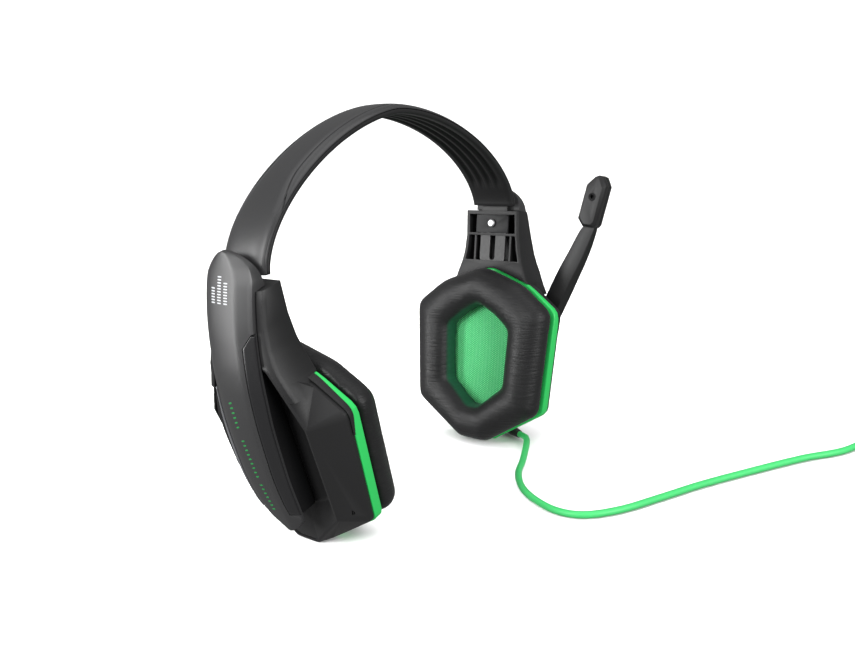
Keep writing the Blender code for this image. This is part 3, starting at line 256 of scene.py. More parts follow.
exit_v = (EXIT_HEIGHT - CUP_Z + EXIT_N * math.sin(TOE_IN)) / math.cos(TOE_IN)
exit_at = cup_point(LEFT, EXIT_U, exit_v, EXIT_N) - MIDDLE
exit_run = Vector((-0.42, -0.90, 0.0)).normalized()
start = exit_at + exit_run * 1.4 * MM
coil_x, coil_y = COIL_AT
ring_out = COIL_RADIUS + COIL_SECTION
lead = [start, start + exit_run * 7.0 * MM,
        start + exit_run * 14.0 * MM + Vector((0, 0, -0.6 * MM))]
lead += [Vector((x * MM, y * MM, LAY)) for x, y in (
    (41, -39), (26, -46), (13, -57), (5, -70), (1, -84), (4, -96), (16, -107), (34, -116.5),
    (56, -127.5), (82, -143), (104, -157), (126, -173))]


def curl(angle, radius, z):
    return Vector((coil_x + radius * math.cos(angle), coil_y + radius * math.sin(angle), z))


# the lead meets the coil from outside and eases into its lowest outer turn
OUTSIDE = ring_out + CORD_RADIUS + GAP
for degrees, radius, height in ((120.0, OUTSIDE - 1.4 * MM, LAY), (104.0, 27.5 * MM, LAY),
                                (90.0, 26.3 * MM, LAY + 0.7 * MM),
                                (75.0, 24.7 * MM, LAY + 1.6 * MM)):
    lead.append(curl(math.radians(degrees), radius, height))

# places of the turns in the coil's section, each one diameter from the one before
STEP = 3.46 * MM
START_ANGLE = math.radians(60.0)
row = [(1, -1.5), (0, -1), (-1, -1.5), (-1, -0.5), (0, 0), (-1, 0.5), (-1, 1.5), (0, 1),
       (1, 1.5), (1, 0.5), (1, -0.5), (2, -1)]
places = [(r * STEP * 0.866, z * STEP) for r, z in row]
turns = []
SHIFT = 0.18                # share of a turn spent moving over to the next place
count = len(places)
for k, (r, z) in enumerate(places):
    next_r, next_z = places[min(k + 1, count - 1)]
    for s in range(24):
        t = s / 24
        move = max(0.0, (t - 1.0 + SHIFT) / SHIFT)
        move = move * move * (3 - 2 * move)
        turns.append(curl(START_ANGLE - 2 * math.pi * (k + t),
                          COIL_RADIUS + r + (next_r - r) * move,
                          COIL_Z + z + (next_z - z) * move))
print("lead", round(distances(smooth_path(lead, 3 * MM))[-1], 4), "coil", round(distances(turns)[-1], 4))

# %% [markdown]
# The free end leaves the last turn and lies beside the coil, ending in the plug. The whole route
# is one poly curve with a round bevel, so its real length can be measured along its points.

# %% Make the cord
tail_start = Vector((coil_x + OUTSIDE, coil_y + 4.0 * MM, LAY))
plug_run = Vector((-0.80, -0.60, 0.0)).normalized()
plug_at = Vector((coil_x + 12.0 * MM, coil_y - 41.0 * MM, 4.1 * MM))
tail = [tail_start, tail_start + Vector((0.6 * MM, -10.0 * MM, 0.0)),
        tail_start + Vector((-1.0 * MM, -22.0 * MM, 0.0)),
        plug_at - plug_run * 9.0 * MM + Vector((0, 0, LAY - plug_at.z)) * 0.5,
        plug_at - plug_run * 0.2 * MM]
last_r, last_z = places[-1]
leave = []
for s in range(0, 5):
    t = s / 5
    ease = t * t * (3 - 2 * t)
    leave.append(curl(START_ANGLE * (1 - t) + math.radians(7.6) * t,
                      COIL_RADIUS + last_r + (OUTSIDE - COIL_RADIUS - last_r) * ease,
                      COIL_Z + last_z + (LAY - COIL_Z - last_z) * ease))
route = smooth_path(lead + turns[:1], 3.0 * MM)[:-1] + turns
route += smooth_path(leave + tail, 3.0 * MM)
route = [MIDDLE + p for p in route]
print("cord length", round(distances(route)[-1], 4))

curve = bpy.data.curves.new("cord_run", "CURVE")
curve.dimensions = "3D"
curve.bevel_depth = CORD_RADIUS
curve.bevel_resolution = 3
curve.use_fill_caps = True
spline = curve.splines.new("POLY")
spline.points.add(len(route) - 1)
for point, p in zip(spline.points, route):
    point.co = (*p, 1.0)
cord = bpy.data.objects.new("cord_run", curve)
bpy.context.scene.collection.objects.link(cord)

# %% [markdown]
# ## Writing materials as sums
# A material is a small graph. The class below wraps a socket so that the graph can be written as
# ordinary arithmetic; `Look.node` adds any other node with its settings and inputs.

# %% A socket that does arithmetic
class Wire:
    """One output in a material's graph."""

    def __init__(self, look, socket):
        self.look = look
        self.socket = socket

    def maths(self, operation, a, b=None, clamp=False):
        values = [a] if b is None else [a, b]
        return self.look.node("ShaderNodeMath", {"operation": operation, "use_clamp": clamp},
                              values)

    def __add__(self, other):
        return self.maths("ADD", self, other)

    def __sub__(self, other):
        return self.maths("SUBTRACT", self, other)

    def __mul__(self, other):
        return self.maths("MULTIPLY", self, other)

    def held(self):
        """Kept between 0 and 1."""
        return self.maths("ADD", self, 0.0, clamp=True)


class Look:
    """A material: constants on the shader's own sockets, what varies linked to a few of them."""

    def __init__(self, name, colour, roughness, metallic=0.0, **constants):
        self.material = bpy.data.materials.new(name)
        self.material.use_nodes = True
        self.tree = self.material.node_tree
        self.shader = self.tree.nodes["Principled BSDF"]
        self.shader.inputs["Base Color"].default_value = (*colour, 1.0)
        self.shader.inputs["Roughness"].default_value = roughness
        self.shader.inputs["Metallic"].default_value = metallic
        for key, value in constants.items():
            self.shader.inputs[key.replace("_", " ")].default_value = value
        self.material.diffuse_color = (*colour, 1.0)

    def node(self, kind, settings=None, inputs=(), out=0):
        made = self.tree.nodes.new(kind)
        for key, value in (settings or {}).items():
            setattr(made, key, value)
        pairs = inputs.items() if isinstance(inputs, dict) else enumerate(inputs)
        for key, value in pairs:
            if isinstance(value, Wire):
                self.tree.links.new(value.socket, made.inputs[key])
            elif hasattr(value, "__len__") and made.inputs[key].type == "RGBA":
                made.inputs[key].default_value = (*value, 1.0)
            else:
                made.inputs[key].default_value = value
        return Wire(self, made.outputs[out])

    def place(self, turn=(0, 0, 0), stretch=(1, 1, 1)):
        """Object coordinates in metres, turned and stretched."""
        at = self.node("ShaderNodeTexCoord", out="Object")
        return self.node("ShaderNodeMapping", {}, {0: at, 2: turn, 3: stretch})

    def noise(self, at, scale, detail=2.0, rough=0.5):
        return self.node("ShaderNodeTexNoise", {}, {"Vector": at, "Scale": scale,
                                                    "Detail": detail, "Roughness": rough})

    def ramp(self, wire, stops):
        made = self.node("ShaderNodeValToRGB", {}, {0: wire})
        for stop, (at, shade) in zip(made.socket.node.color_ramp.elements, stops):
            stop.position = at
            stop.color = (shade, shade, shade, 1.0)
        return made

    def mix(self, share, a, b):
        return self.node("ShaderNodeMix", {"data_type": "RGBA"}, {0: share, 6: a, 7: b}, out=2)

    def bump(self, height, depth, strength=1.0):
        normal = self.node("ShaderNodeBump", {}, {"Height": height, "Distance": depth,
                                                  "Strength": strength})
        self.feed("Normal", normal)

    def feed(self, name, wire):
        self.tree.links.new(wire.socket, self.shader.inputs[name])


print("material tools ready")

# %% [markdown]
# ## Moulded plastic
# The band, blades and cups are injection moulded. Their moulds are spark eroded, which leaves a
# fine even grain that scatters the reflection and hides scratches. Three layers make it: the
# grain as bump, slow variation in gloss where hands have been, and edges rubbed a little brighter.

# %% Moulded finishes
def moulded(name, colour, roughness, grain=900.0, depth=0.03 * MM, wear=0.35, **constants):
    look = Look(name, colour, roughness, **constants)
    at = look.place()
    fine = look.noise(at, grain, 2.0, 0.6)
    pits = look.noise(at, grain * 2.3, 1.0)
    broad = look.noise(at, 22.0, 3.0)
    look.bump(fine * 0.7 + pits * 0.3, depth)
    look.feed("Roughness", (broad - 0.5) * 0.12 + (fine - 0.5) * 0.10 + roughness)
    edge = look.node("ShaderNodeNewGeometry", out="Pointiness")
    rubbed = look.ramp(edge, [(0.505, 0.0), (0.56, 1.0)])
    share = rubbed * (0.5 * wear) + (broad - 0.5) * 0.10
    lighter = tuple(min(1.0, c * 1.9 + 0.03) for c in colour)
    look.feed("Base Color", look.mix(share.held(), colour, lighter))
    return look.material


GREY = moulded("satin_grey", (0.030, 0.030, 0.031), 0.40, grain=1500.0, depth=0.010 * MM,
               Specular_IOR_Level=0.5)
BLACK = moulded("black_moulding", (0.0105, 0.0105, 0.0110), 0.46, grain=1100.0,
                depth=0.02 * MM, Specular_IOR_Level=0.35)
DEEP = moulded("inner_black", (0.004, 0.004, 0.0045), 0.6, grain=900.0, depth=0.02 * MM,
               wear=0.1, Specular_IOR_Level=0.2)
PANEL = moulded("dark_panel", (0.013, 0.013, 0.014), 0.34, grain=1800.0, depth=0.008 * MM,
                Specular_IOR_Level=0.4)
GREEN = moulded("green_moulding", (0.035, 0.70, 0.14), 0.36, grain=1400.0,
                depth=0.008 * MM, wear=0.1, Specular_IOR_Level=0.4)
INNER = moulded("inner_grey", (0.018, 0.018, 0.019), 0.55, grain=900.0, depth=0.02 * MM,
                wear=0.1, Specular_IOR_Level=0.35)
print("moulded", [m.name for m in (GREY, BLACK, DEEP, PANEL, GREEN, INNER)])

# %% [markdown]
# ## Metal, rubber and the cord's skin
# The trim strip is plastic with a brushed silver coat, the screws are turned steel with a faint
# even grain, and the cord is soft plastic with the slight unevenness of extrusion.

# %% Metal, rubber and cord finishes
def brushed(name, colour, roughness, along=(1, 1, 1)):
    look = Look(name, colour, roughness, 1.0)
    at = look.place(stretch=along)
    lines = look.noise(at, 900.0, 3.0, 0.7)
    look.bump(lines, 0.01 * MM, 0.6)
    look.feed("Roughness", (lines - 0.5) * 0.25 + roughness)
    return look.material


def rubbery(name, colour, roughness, grain, depth, along=(1, 1, 1)):
    look = Look(name, colour, roughness)
    at = look.place(stretch=along)
    grit = look.noise(at, grain, 3.0, 0.6)
    broad = look.noise(at, 30.0, 2.0)
    look.bump(grit, depth)
    look.feed("Roughness", (grit - 0.5) * 0.2 + roughness)
    paler = tuple(min(1.0, c * 1.25 + 0.01) for c in colour)
    look.feed("Base Color", look.mix(broad, colour, paler))
    return look.material


SILVER = brushed("silver_coat", (0.62, 0.63, 0.66), 0.28, along=(1, 1, 0.08))
STEEL = brushed("turned_steel", (0.88, 0.88, 0.89), 0.42)
SPRING = brushed("spring_steel", (0.42, 0.42, 0.44), 0.35, along=(1, 0.1, 1))
COATED = rubbery("black_coated_steel", (0.010, 0.010, 0.010), 0.45, 900.0, 0.01 * MM)
GILT = brushed("gilt", (0.86, 0.62, 0.26), 0.22)
RUBBER = rubbery("black_rubber", (0.012, 0.012, 0.012), 0.55, 700.0, 0.03 * MM)
SKIN = rubbery("green_cord_skin", (0.065, 0.66, 0.18), 0.42, 500.0, 0.02 * MM)
FILM = rubbery("film", (0.42, 0.38, 0.22), 0.25, 300.0, 0.005 * MM)
cord.data.materials.append(SKIN)
print("metal and rubber done")

# %% [markdown]
# ## From machined facets to a moulded piece
# The mechanical model's meshes are exact but their edges are razor sharp. A moulded edge always
# has a small radius, and that radius is what catches a thin line of light. So each rigid piece is
# copied, its loose triangles are merged into clean faces, and a bevel rounds the real edges.

# %% Round the edges of a piece
def soften(thing, width, edge=30.0, segments=2):
    step = thing.modifiers.new("edges", "BEVEL")
    step.width = width
    step.segments = segments
    step.limit_method = "ANGLE"
    step.angle_limit = math.radians(edge)
    step.use_clamp_overlap = True


def shaped(thing):
    """Replace the object's mesh by the one its modifiers make."""
    bpy.context.view_layer.update()
    made = bpy.data.meshes.new_from_object(
        thing.evaluated_get(bpy.context.evaluated_depsgraph_get()))
    thing.modifiers.clear()
    thing.data = made


def finish(name, node, body, material, bevel):
    """Rounded copy of one mechanical piece, riding on its body."""
    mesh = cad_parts[node].data.copy()
    work = bmesh.new()
    work.from_mesh(mesh)
    bmesh.ops.remove_doubles(work, verts=work.verts, dist=0.002 * MM)
    bmesh.ops.dissolve_limit(work, angle_limit=math.radians(0.7), verts=work.verts,
                             edges=work.edges)
    work.to_mesh(mesh)
    work.free()
    mesh.materials.clear()
    thing = bpy.data.objects.new(name, mesh)
    bpy.context.scene.collection.objects.link(thing)
    soften(thing, bevel, 28.0)
    return settle(thing, material, body, (node,))


def settle(thing, material, body, stands_for=(), sharp=34.0):
    """Apply a piece's modifiers, shade it and hand it to its body."""
    shaped(thing)
    made = thing.data
    made.name = thing.name
    made.materials.clear()
    made.materials.append(material)
    made.polygons.foreach_set("material_index", [0] * len(made.polygons))
    made.shade_smooth()
    if sharp:
        made.set_sharp_from_angle(angle=math.radians(sharp))
    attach(thing, body)
    if stands_for:
        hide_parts(*stands_for)
    return thing


print("piece tools ready")

# %% [markdown]
# ## Smooth curves through a few sizes
# The blade and the band are described by a handful of sizes along their length. Straight lines
# between them would show as facets in a glossy surface, so these helpers read the same tables
# along a smooth curve that never overshoots.

# %% Smooth tables and lofts
def smooth(rows):
    """Reader of (x, value) rows, in millimetres, along a smooth monotone curve, in metres."""
    xs = [a * MM for a, b in rows]
    ys = [b * MM for a, b in rows]
    slope = [(ys[i + 1] - ys[i]) / (xs[i + 1] - xs[i]) for i in range(len(xs) - 1)]
    turn = [slope[0]]
    for a, b in zip(slope, slope[1:]):
        turn.append(0.0 if a * b <= 0.0 else 2.0 * a * b / (a + b))
    turn.append(slope[-1])

    def read(x):
        if x <= xs[0]:
            return ys[0]
        if x >= xs[-1]:
            return ys[-1]
        i = max(k for k in range(len(xs) - 1) if xs[k] <= x)
        h = xs[i + 1] - xs[i]
        t = (x - xs[i]) / h
        return ((2 * t ** 3 - 3 * t ** 2 + 1) * ys[i] + (t ** 3 - 2 * t ** 2 + t) * h * turn[i]
                + (3 * t ** 2 - 2 * t ** 3) * ys[i + 1] + (t ** 3 - t ** 2) * h * turn[i + 1])
    return read


def loft(name, loops, ring=False):
    """Closed skin through equal loops of points."""
    size = len(loops[0])
    points = [p for loop in loops for p in loop]
    faces = []
    count = len(loops)
    for k in range(count if ring else count - 1):
        m = (k + 1) % count
        for i in range(size):
            j = (i + 1) % size
            faces.append((k * size + i, k * size + j, m * size + j, m * size + i))
    if not ring:
        faces.append(tuple(range(size)))
        faces.append(tuple(range((count - 1) * size, count * size)))
    thing = new_mesh(name, points, faces)
    work = bmesh.new()
    work.from_mesh(thing.data)
    bmesh.ops.triangulate(work, faces=[f for f in work.faces if len(f.verts) > 4])
    bmesh.ops.recalc_face_normals(work, faces=work.faces)
    if work.calc_volume(signed=True) < 0.0:
        bmesh.ops.reverse_faces(work, faces=work.faces)
    work.to_mesh(thing.data)
    work.free()
    return thing


def spread(low, high, count):
    return [low + (high - low) * k / (count - 1) for k in range(count)]


print("loft tools ready")

# %% [markdown]
# ## Headband
# The band is two mouldings. The outer one is a crowned satin shell; a fine groove near each edge
# runs over the whole arch and leaves through the side near the lower end, where two mouldings
# meet on the real thing. Sweeping one cross-section along the arch gives both a clean highlight.

# %% Sweep the outer shell
BAND_HALF_SPAN = 83.8 * MM
BAND_END_Z = 124.0 * MM
BAND_RISE = 54.0 * MM
BAND_POWER = 1.21
BAND_HALF_WIDTH = 12.8 * MM
BAND_THICK = 5.0 * MM
BAND_SPLIT = 2.2 * MM
BAND_ROOF = 3.7 * MM
BAND_STATIONS = 150


def arch_at(angle):
    c = math.cos(angle)
    s = max(math.sin(angle), 0.0)
    return Vector((math.copysign(abs(c) ** BAND_POWER, c) * BAND_HALF_SPAN, 0.0,
                   BAND_END_Z + s ** BAND_POWER * BAND_RISE))


def arch_frames(count):
    """Evenly spaced (point, outward direction, height) along the inner face of the arch."""
    fine = [arch_at(math.pi * i / 3000) for i in range(3001)]
    run = distances(fine)
    out = []
    j = 0
    for k in range(count + 1):
        want = run[-1] * k / count
        while j < len(run) - 2 and run[j + 1] < want:
            j += 1
        t = (want - run[j]) / (run[j + 1] - run[j])
        p = fine[j].lerp(fine[j + 1], min(max(t, 0.0), 1.0))
        a = fine[max(j - 12, 0)]
        b = fine[min(j + 13, 3000)]
        way = (b - a).normalized()
        if k == 0:
            way = Vector((0.0, 0.0, 1.0))
        elif k == count:
            way = Vector((0.0, 0.0, -1.0))
        out.append((p, Vector((way.z, 0.0, -way.x)), p.z - BAND_END_Z))
    return out


def sweep(name, section, frames):
    return loft(name, [[MIDDLE + p + out * r + Vector((0.0, y, 0.0)) for y, r in section(height)]
                       for p, out, height in frames])


W = BAND_HALF_WIDTH
groove_place = smooth([(0, 12.5), (22, 12.5), (25, 11.6), (34, 9.0), (54, 8.4)])
groove_depth = smooth([(0, 0.0), (20, 0.0), (22.5, 1.2), (54, 1.2)])


def crown(y):
    """Height of the shell's outer face across its width."""
    return BAND_THICK - 0.6 * MM * (y / W) ** 2 - 1.5 * MM * abs(y / W) ** 5


def shell_section(height):
    at = groove_place(height)
    deep = groove_depth(height)
    slit = 0.40 * MM
    half = [(y, crown(y)) for y in spread(0.0, at - slit, 9)]
    half += [(at - 0.45 * slit, crown(at) - deep), (at + 0.3 * slit, crown(at) - deep)]
    half += [(y, crown(y)) for y in spread(min(at + slit, W - 0.02 * MM), W - 0.01 * MM, 6)]
    half.append((W, BAND_SPLIT + 0.3 * MM))
    return ([(-y, r) for y, r in reversed(half)] + half[1:]
            + [(W - 1.4 * MM, BAND_SPLIT + 0.3 * MM), (W - 1.4 * MM, BAND_ROOF),
               (1.4 * MM - W, BAND_ROOF), (1.4 * MM - W, BAND_SPLIT + 0.3 * MM)])


frames = arch_frames(BAND_STATIONS)
shell = sweep("band_shell_finished", shell_section, frames)
soften(shell, 0.08 * MM, 50.0, 1)
settle(shell, GREY, "band", ("band_outer_shell",), 40.0)
print("shell faces", len(shell.data.polygons))

# %% [markdown]
# The inner moulding carries four long grooves that make it grip and let air past. They fade out
# above each end, so the groove depth is one more size that varies along the sweep.

# %% Sweep the inner cover
rib_depth = smooth([(0, 0.0), (9, 0.0), (15, 1.25), (54, 1.25)])


def cover_section(height):
    deep = rib_depth(height)
    low = [(-W, BAND_SPLIT), (-W, 1.0 * MM), (-W + 0.4 * MM, 0.4 * MM), (-W + 1.0 * MM, 0.08 * MM)]
    under = []
    for k in range(4):
        y = (k - 1.5) * 5.0 * MM
        for s, d in ((-1.0, 0.0), (-0.75, 0.75), (-0.4, 1.0), (0.4, 1.0), (0.75, 0.75), (1.0, 0.0)):
            under.append((y + s * 1.75 * MM, d * deep))
    return low + under + [(-y, r) for y, r in reversed(low)]


cover = sweep("band_cover_finished", cover_section, frames)
soften(cover, 0.15 * MM, 50.0, 1)
settle(cover, BLACK, "band", ("band_inner_cover",), 50.0)
print("cover faces", len(cover.data.polygons))

# %% [markdown]
# ## Blades
# Each cup carries a long blade that leans over it, satin grey, with a darker panel let into its
# front slope. The blade is a loft of cross-sections; the panel's seat is cut with a boolean so
# the gap around the panel is a real groove with real depth.

# %% Loft the blades
BLADE_FOOT = -31
BLADE_TIP = 91.7
blade_crest = smooth([(BLADE_FOOT, 22.6), (-20, 24.4), (0, 25.8), (20, 25.4), (37, 23.8),
                      (46, 22.4), (55, 20.4), (64, 18.0), (73, 14.8), (80, 11.8), (87, 8.2),
                      (BLADE_TIP, 5.8)])
blade_rear = smooth([(BLADE_FOOT, 0.6), (-29, -2.4), (-24, -9.0), (-15, -12.6), (0, -13.8), (20, -14.2),
                     (73, -14.0), (83, -13.7), (86.6, -12.1), (89.6, -9.0), (91.2, -6.2),
                     (BLADE_TIP, -4.4)])
blade_front = smooth([(BLADE_FOOT, 3.2), (-29, 6.4), (-24, 10.8), (-15, 11.8), (0, 12.6), (20, 13.2),
                      (37, 13.6), (80, 13.6), (84, 12.4), (86.6, 10.2), (89.6, 5.2), (91.2, 1.0),
                      (BLADE_TIP, -1.4)])
arm_face = smooth([(-40, 18.2), (46, 17.8), (50, 17.1), (55, 16.0), (64, 13.6), (73, 10.4),
                   (77.3, 8.6)])
BLADE_THICK = 4.4 * MM
FACET = 6.4 * MM


def blade_height(v, u):
    """Outer face of the blade at (u, v)."""
    rear = blade_rear(v)
    front = blade_front(v)
    narrow = min(1.0, (front - rear) / (20.0 * MM))
    ridge = 0.35 * rear + 0.65 * front - FACET * narrow * 0.5
    if u <= ridge:
        t = min(1.0, (ridge - u) / max(ridge - rear, 1e-6))
        drop = 0.9 * t ** 2 + 1.1 * t ** 6
    else:
        t = min(1.0, (u - ridge) / max(front - ridge, 1e-6))
        drop = 0.25 * t if t < 0.32 else 0.08 + 2.32 * ((t - 0.32) / 0.68) ** 1.15
    return blade_crest(v) - drop * MM * narrow


def blade_seat(v):
    if v < 48.0 * MM:
        return blade_crest(v) - BLADE_THICK
    if v < 77.6 * MM:
        return arm_face(v) + GAP
    return 3.6 * MM


panel_edge = [(-21, 6.6), (-15, 6.2), (0, 6.4), (20, 7.0), (37, 7.2), (57, 7.6), (62.5, 12.6)]
panel_start = [(v * MM, u * MM) for v, u in panel_edge]


def panel_loops(side, stops, side_gap, grow, low, high):
    """Sections of the panel, or of its seat: from its start on the crest over the front edge."""
    loops = []
    for v in stops:
        start = table(panel_start, v) + side_gap
        front = blade_front(v) + grow
        section = []
        for u in spread(start, front, 7):
            section.append((u, blade_height(v, min(u, blade_front(v))) + high))
        section.append((front, blade_height(v, blade_front(v)) - low))
        section.append((start, blade_height(v, start) - low))
        loops.append(station(side, v, section))
    return loops


def cut_away(target, tool):
    step = target.modifiers.new("cut", "BOOLEAN")
    step.solver = "EXACT"
    step.object = tool


for side, tag in SIDES:
    stops = (spread(BLADE_FOOT * MM, -24 * MM, 9) + spread(-22.5 * MM, 77.2 * MM, 62)
             + spread(77.8 * MM, 88 * MM, 9) + spread(89 * MM, BLADE_TIP * MM, 6))
    loops = []
    for v in stops:
        rear = blade_rear(v)
        front = blade_front(v)
        section = [(u, blade_height(v, u)) for u in spread(rear, front, 22)]
        seat = min(blade_seat(v), blade_height(v, front) - 0.5 * MM)
        section += [(front, seat), (rear, seat)]
        loops.append(station(side, v, section))
    blade = loft(tag + "_blade_finished", loops)
    soften(blade, 0.35 * MM, 40.0, 2)
    panel_stops = spread(-21 * MM, 57 * MM, 40) + spread(57.6 * MM, 62.5 * MM, 8)
    seat_tool = loft(tag + "_panel_seat", panel_loops(side, panel_stops, 0.0, 2.0 * MM,
                                                      1.4 * MM, 3.0 * MM))
    cut_away(blade, seat_tool)
    settle(blade, GREY, tag + "_arm", (tag + "_blade",), 30.0)
    bpy.data.objects.remove(seat_tool, do_unlink=True)
    inner_stops = [min(max(v, -20.7 * MM), 61.6 * MM) for v in panel_stops]
    inner_stops = [v for k, v in enumerate(inner_stops) if k == 0 or v > inner_stops[k - 1]]
    panel = loft(tag + "_side_panel_finished",
                 panel_loops(side, inner_stops, GAP, 0.0, 1.1 * MM, -0.10 * MM))
    soften(panel, 0.2 * MM, 40.0, 2)
    settle(panel, PANEL, tag + "_arm", (tag + "_side_panel",), 40.0)
    print(blade.name, len(blade.data.polygons), panel.name, len(panel.data.polygons))

# %% [markdown]
# A silver strip lies along the rear edge of each blade, coming to a point at both ends. It is
# lofted like the blade, a little proud of it so it draws one bright line.

# %% Loft the silver strips
for side, tag in SIDES:
    loops = []
    for v in spread(-21 * MM, 38 * MM, 48):
        t = (v + 21 * MM) / (59 * MM)
        wide = 0.35 * MM + 1.75 * MM * math.sin(math.pi * t) ** 0.5
        rear = blade_rear(v) - 0.12 * MM
        edge = blade_height(v, blade_rear(v))
        section = ((rear, edge - 2.0 * MM), (rear, edge + 0.45 * MM),
                   (rear - 0.35 * wide, edge + 0.5 * MM), (rear - 0.75 * wide, edge + 0.2 * MM),
                   (rear - wide, edge - 0.5 * MM), (rear - wide, edge - 2.0 * MM))
        loops.append(station(side, v, section))
    strip = loft(tag + "_silver_strip_finished", loops)
    soften(strip, 0.1 * MM, 40.0, 1)
    settle(strip, SILVER, tag + "_arm", (tag + "_silver_strip",), 50.0)
    print(strip.name, len(strip.data.polygons))

# %% [markdown]
# ## Ear cushions
# A cushion is foam under leatherette, sewn to a plate, fuller in the middle of its ring than at
# its seams. The skin starts as a slightly small loft between the cup's outline and the ear
# opening; a short cloth simulation under pressure then fills it, as the foam does.

# %% Outlines of the cup and of the ear opening
def outline(top, shoulder, corner, low, foot):
    half = [shoulder, corner, low, foot]
    return [(0.0, top)] + [(-u, v) for u, v in half] + list(reversed(half))


def rounded(points, radii, steps):
    """Polygon with every corner turned into an arc."""
    out = []
    count = len(points)
    for i in range(count):
        p = Vector(points[i - 1])
        q = Vector(points[i])
        r = Vector(points[(i + 1) % count])
        a = (p - q).normalized()
        b = (r - q).normalized()
        half = a.angle(b) / 2.0
        reach = min(radii[i] / math.tan(half), 0.45 * (p - q).length, 0.45 * (r - q).length)
        centre = q + (a + b).normalized() * (reach / math.cos(half))
        start = q + a * reach - centre
        sweep_angle = start.angle_signed(q + b * reach - centre)
        for s in range(steps + 1):
            turn = -sweep_angle * s / steps
            out.append(centre + Vector((start.x * math.cos(turn) - start.y * math.sin(turn),
                                        start.x * math.sin(turn) + start.y * math.cos(turn))))
    return out


def inset(points, amount):
    """Outline moved inward along its own normals."""
    count = len(points)
    moved = []
    for i in range(count):
        way = (points[(i + 1) % count] - points[i - 1]).normalized()
        moved.append(points[i] + Vector((-way.y, way.x)) * amount)
    return moved


def even(points, count):
    """The same closed outline with evenly spaced points, from its first one."""
    ring = list(points) + [points[0]]
    run = distances(ring)
    out = []
    j = 0
    for k in range(count):
        want = run[-1] * k / count
        while run[j + 1] < want:
            j += 1
        out.append(ring[j].lerp(ring[j + 1], (want - run[j]) / (run[j + 1] - run[j])))
    return out


CUP = rounded(outline(47.4 * MM, (24.8 * MM, 38.9 * MM), (42 * MM, 26.0 * MM),
                      (38.0 * MM, -27.9 * MM), (8.0 * MM, -46.6 * MM)),
              [r * MM for r in (14, 25, 6, 5, 4, 4, 5, 6, 25)], 6)
EAR = rounded(outline(27.2 * MM, (9.7 * MM, 21.8 * MM), (18.6 * MM, 14.8 * MM),
                      (17.3 * MM, -15.2 * MM), (3.0 * MM, -27.2 * MM)),
              [r * MM for r in (4, 6, 5, 5, 4, 4, 5, 5, 6)], 6)
print("outline points", len(CUP), len(EAR))

# %% [markdown]
# The simulation needs an even mesh, so the loft is remeshed before it. How far each point may
# move is capped, and the sewn edges hardly move at all, so the cushion keeps its size.

# %% Make the cushions
CLOTH_FRAMES = 20
SWELL_CAP = 0.9 * MM
PROFILE = [(0.06, -1.6), (0.012, -2.8), (0.0, -4.2), (0.0, -6.6), (0.02, -8.8), (0.075, -11.0),
           (0.16, -12.8), (0.28, -14.2), (0.42, -15.1), (0.57, -15.3), (0.72, -14.7),
           (0.86, -12.7), (0.955, -9.8), (0.985, -6.5), (0.985, -3.2), (0.98, -1.6)]


def cushion_skin(name, side):
    loops = []
    for t, n in PROFILE:
        flat = [p.lerp(q, t) for p, q in zip(CUP, EAR)]
        loops.append([cup_point(side, p.x, p.y, n * MM) for p in flat])
    return loft(name, loops, ring=True)


def inflate(thing, cap):
    """Cloth under pressure for a few frames, with every move capped."""
    before = np.empty(len(thing.data.vertices) * 3)
    thing.data.vertices.foreach_get("co", before)
    cloth = thing.modifiers.new("fill", "CLOTH")
    cloth.settings.quality = 6
    cloth.settings.mass = 0.2
    cloth.settings.tension_stiffness = 22.0
    cloth.settings.compression_stiffness = 22.0
    cloth.settings.bending_stiffness = 0.6
    cloth.settings.use_pressure = True
    cloth.settings.uniform_pressure_force = 4.0
    cloth.settings.effector_weights.gravity = 0.0
    cloth.point_cache.frame_start = 1
    cloth.point_cache.frame_end = CLOTH_FRAMES
    for number in range(1, CLOTH_FRAMES + 1):
        bpy.context.scene.frame_set(number)
    shaped(thing)
    bpy.context.scene.frame_set(1)
    after = np.empty_like(before)
    thing.data.vertices.foreach_get("co", after)
    move = (after - before).reshape(-1, 3)
    size = np.linalg.norm(move, axis=1, keepdims=True)
    level = np.array([(Vector(p) - seam_point).dot(seam_way)
                      for p in before.reshape(-1, 3)])[:, None]
    held = cap * np.clip((-level - 1.5 * MM) / (6.0 * MM), 0.05, 1.0)
    move = move * np.minimum(1.0, held / np.maximum(size, 1e-9))
    thing.data.vertices.foreach_set("co", (before.reshape(-1, 3) + move).ravel())
    thing.data.update()
    return float(size.max()), float(np.linalg.norm(move, axis=1).max())


cushions = {}
for side, tag in SIDES:
    cushion = cushion_skin(tag + "_cushion", side)
    seam_point = cup_point(side, 0.0, 0.0, 0.0)
    seam_way = cup_dir(side, 0.0, 0.0, 1.0).normalized()
    remesh = cushion.modifiers.new("even", "REMESH")
    remesh.mode = "VOXEL"
    remesh.voxel_size = 1.6 * MM
    relax = cushion.modifiers.new("relax", "SMOOTH")
    relax.factor = 0.5
    relax.iterations = 4
    shaped(cushion)
    print(tag, "cushion swelled and was held at", inflate(cushion, SWELL_CAP))
    finer = cushion.modifiers.new("finer", "SUBSURF")
    finer.levels = 1
    finer.render_levels = 1
    cushions[tag] = cushion
print("cushions", {k: len(c.data.vertices) for k, c in cushions.items()})
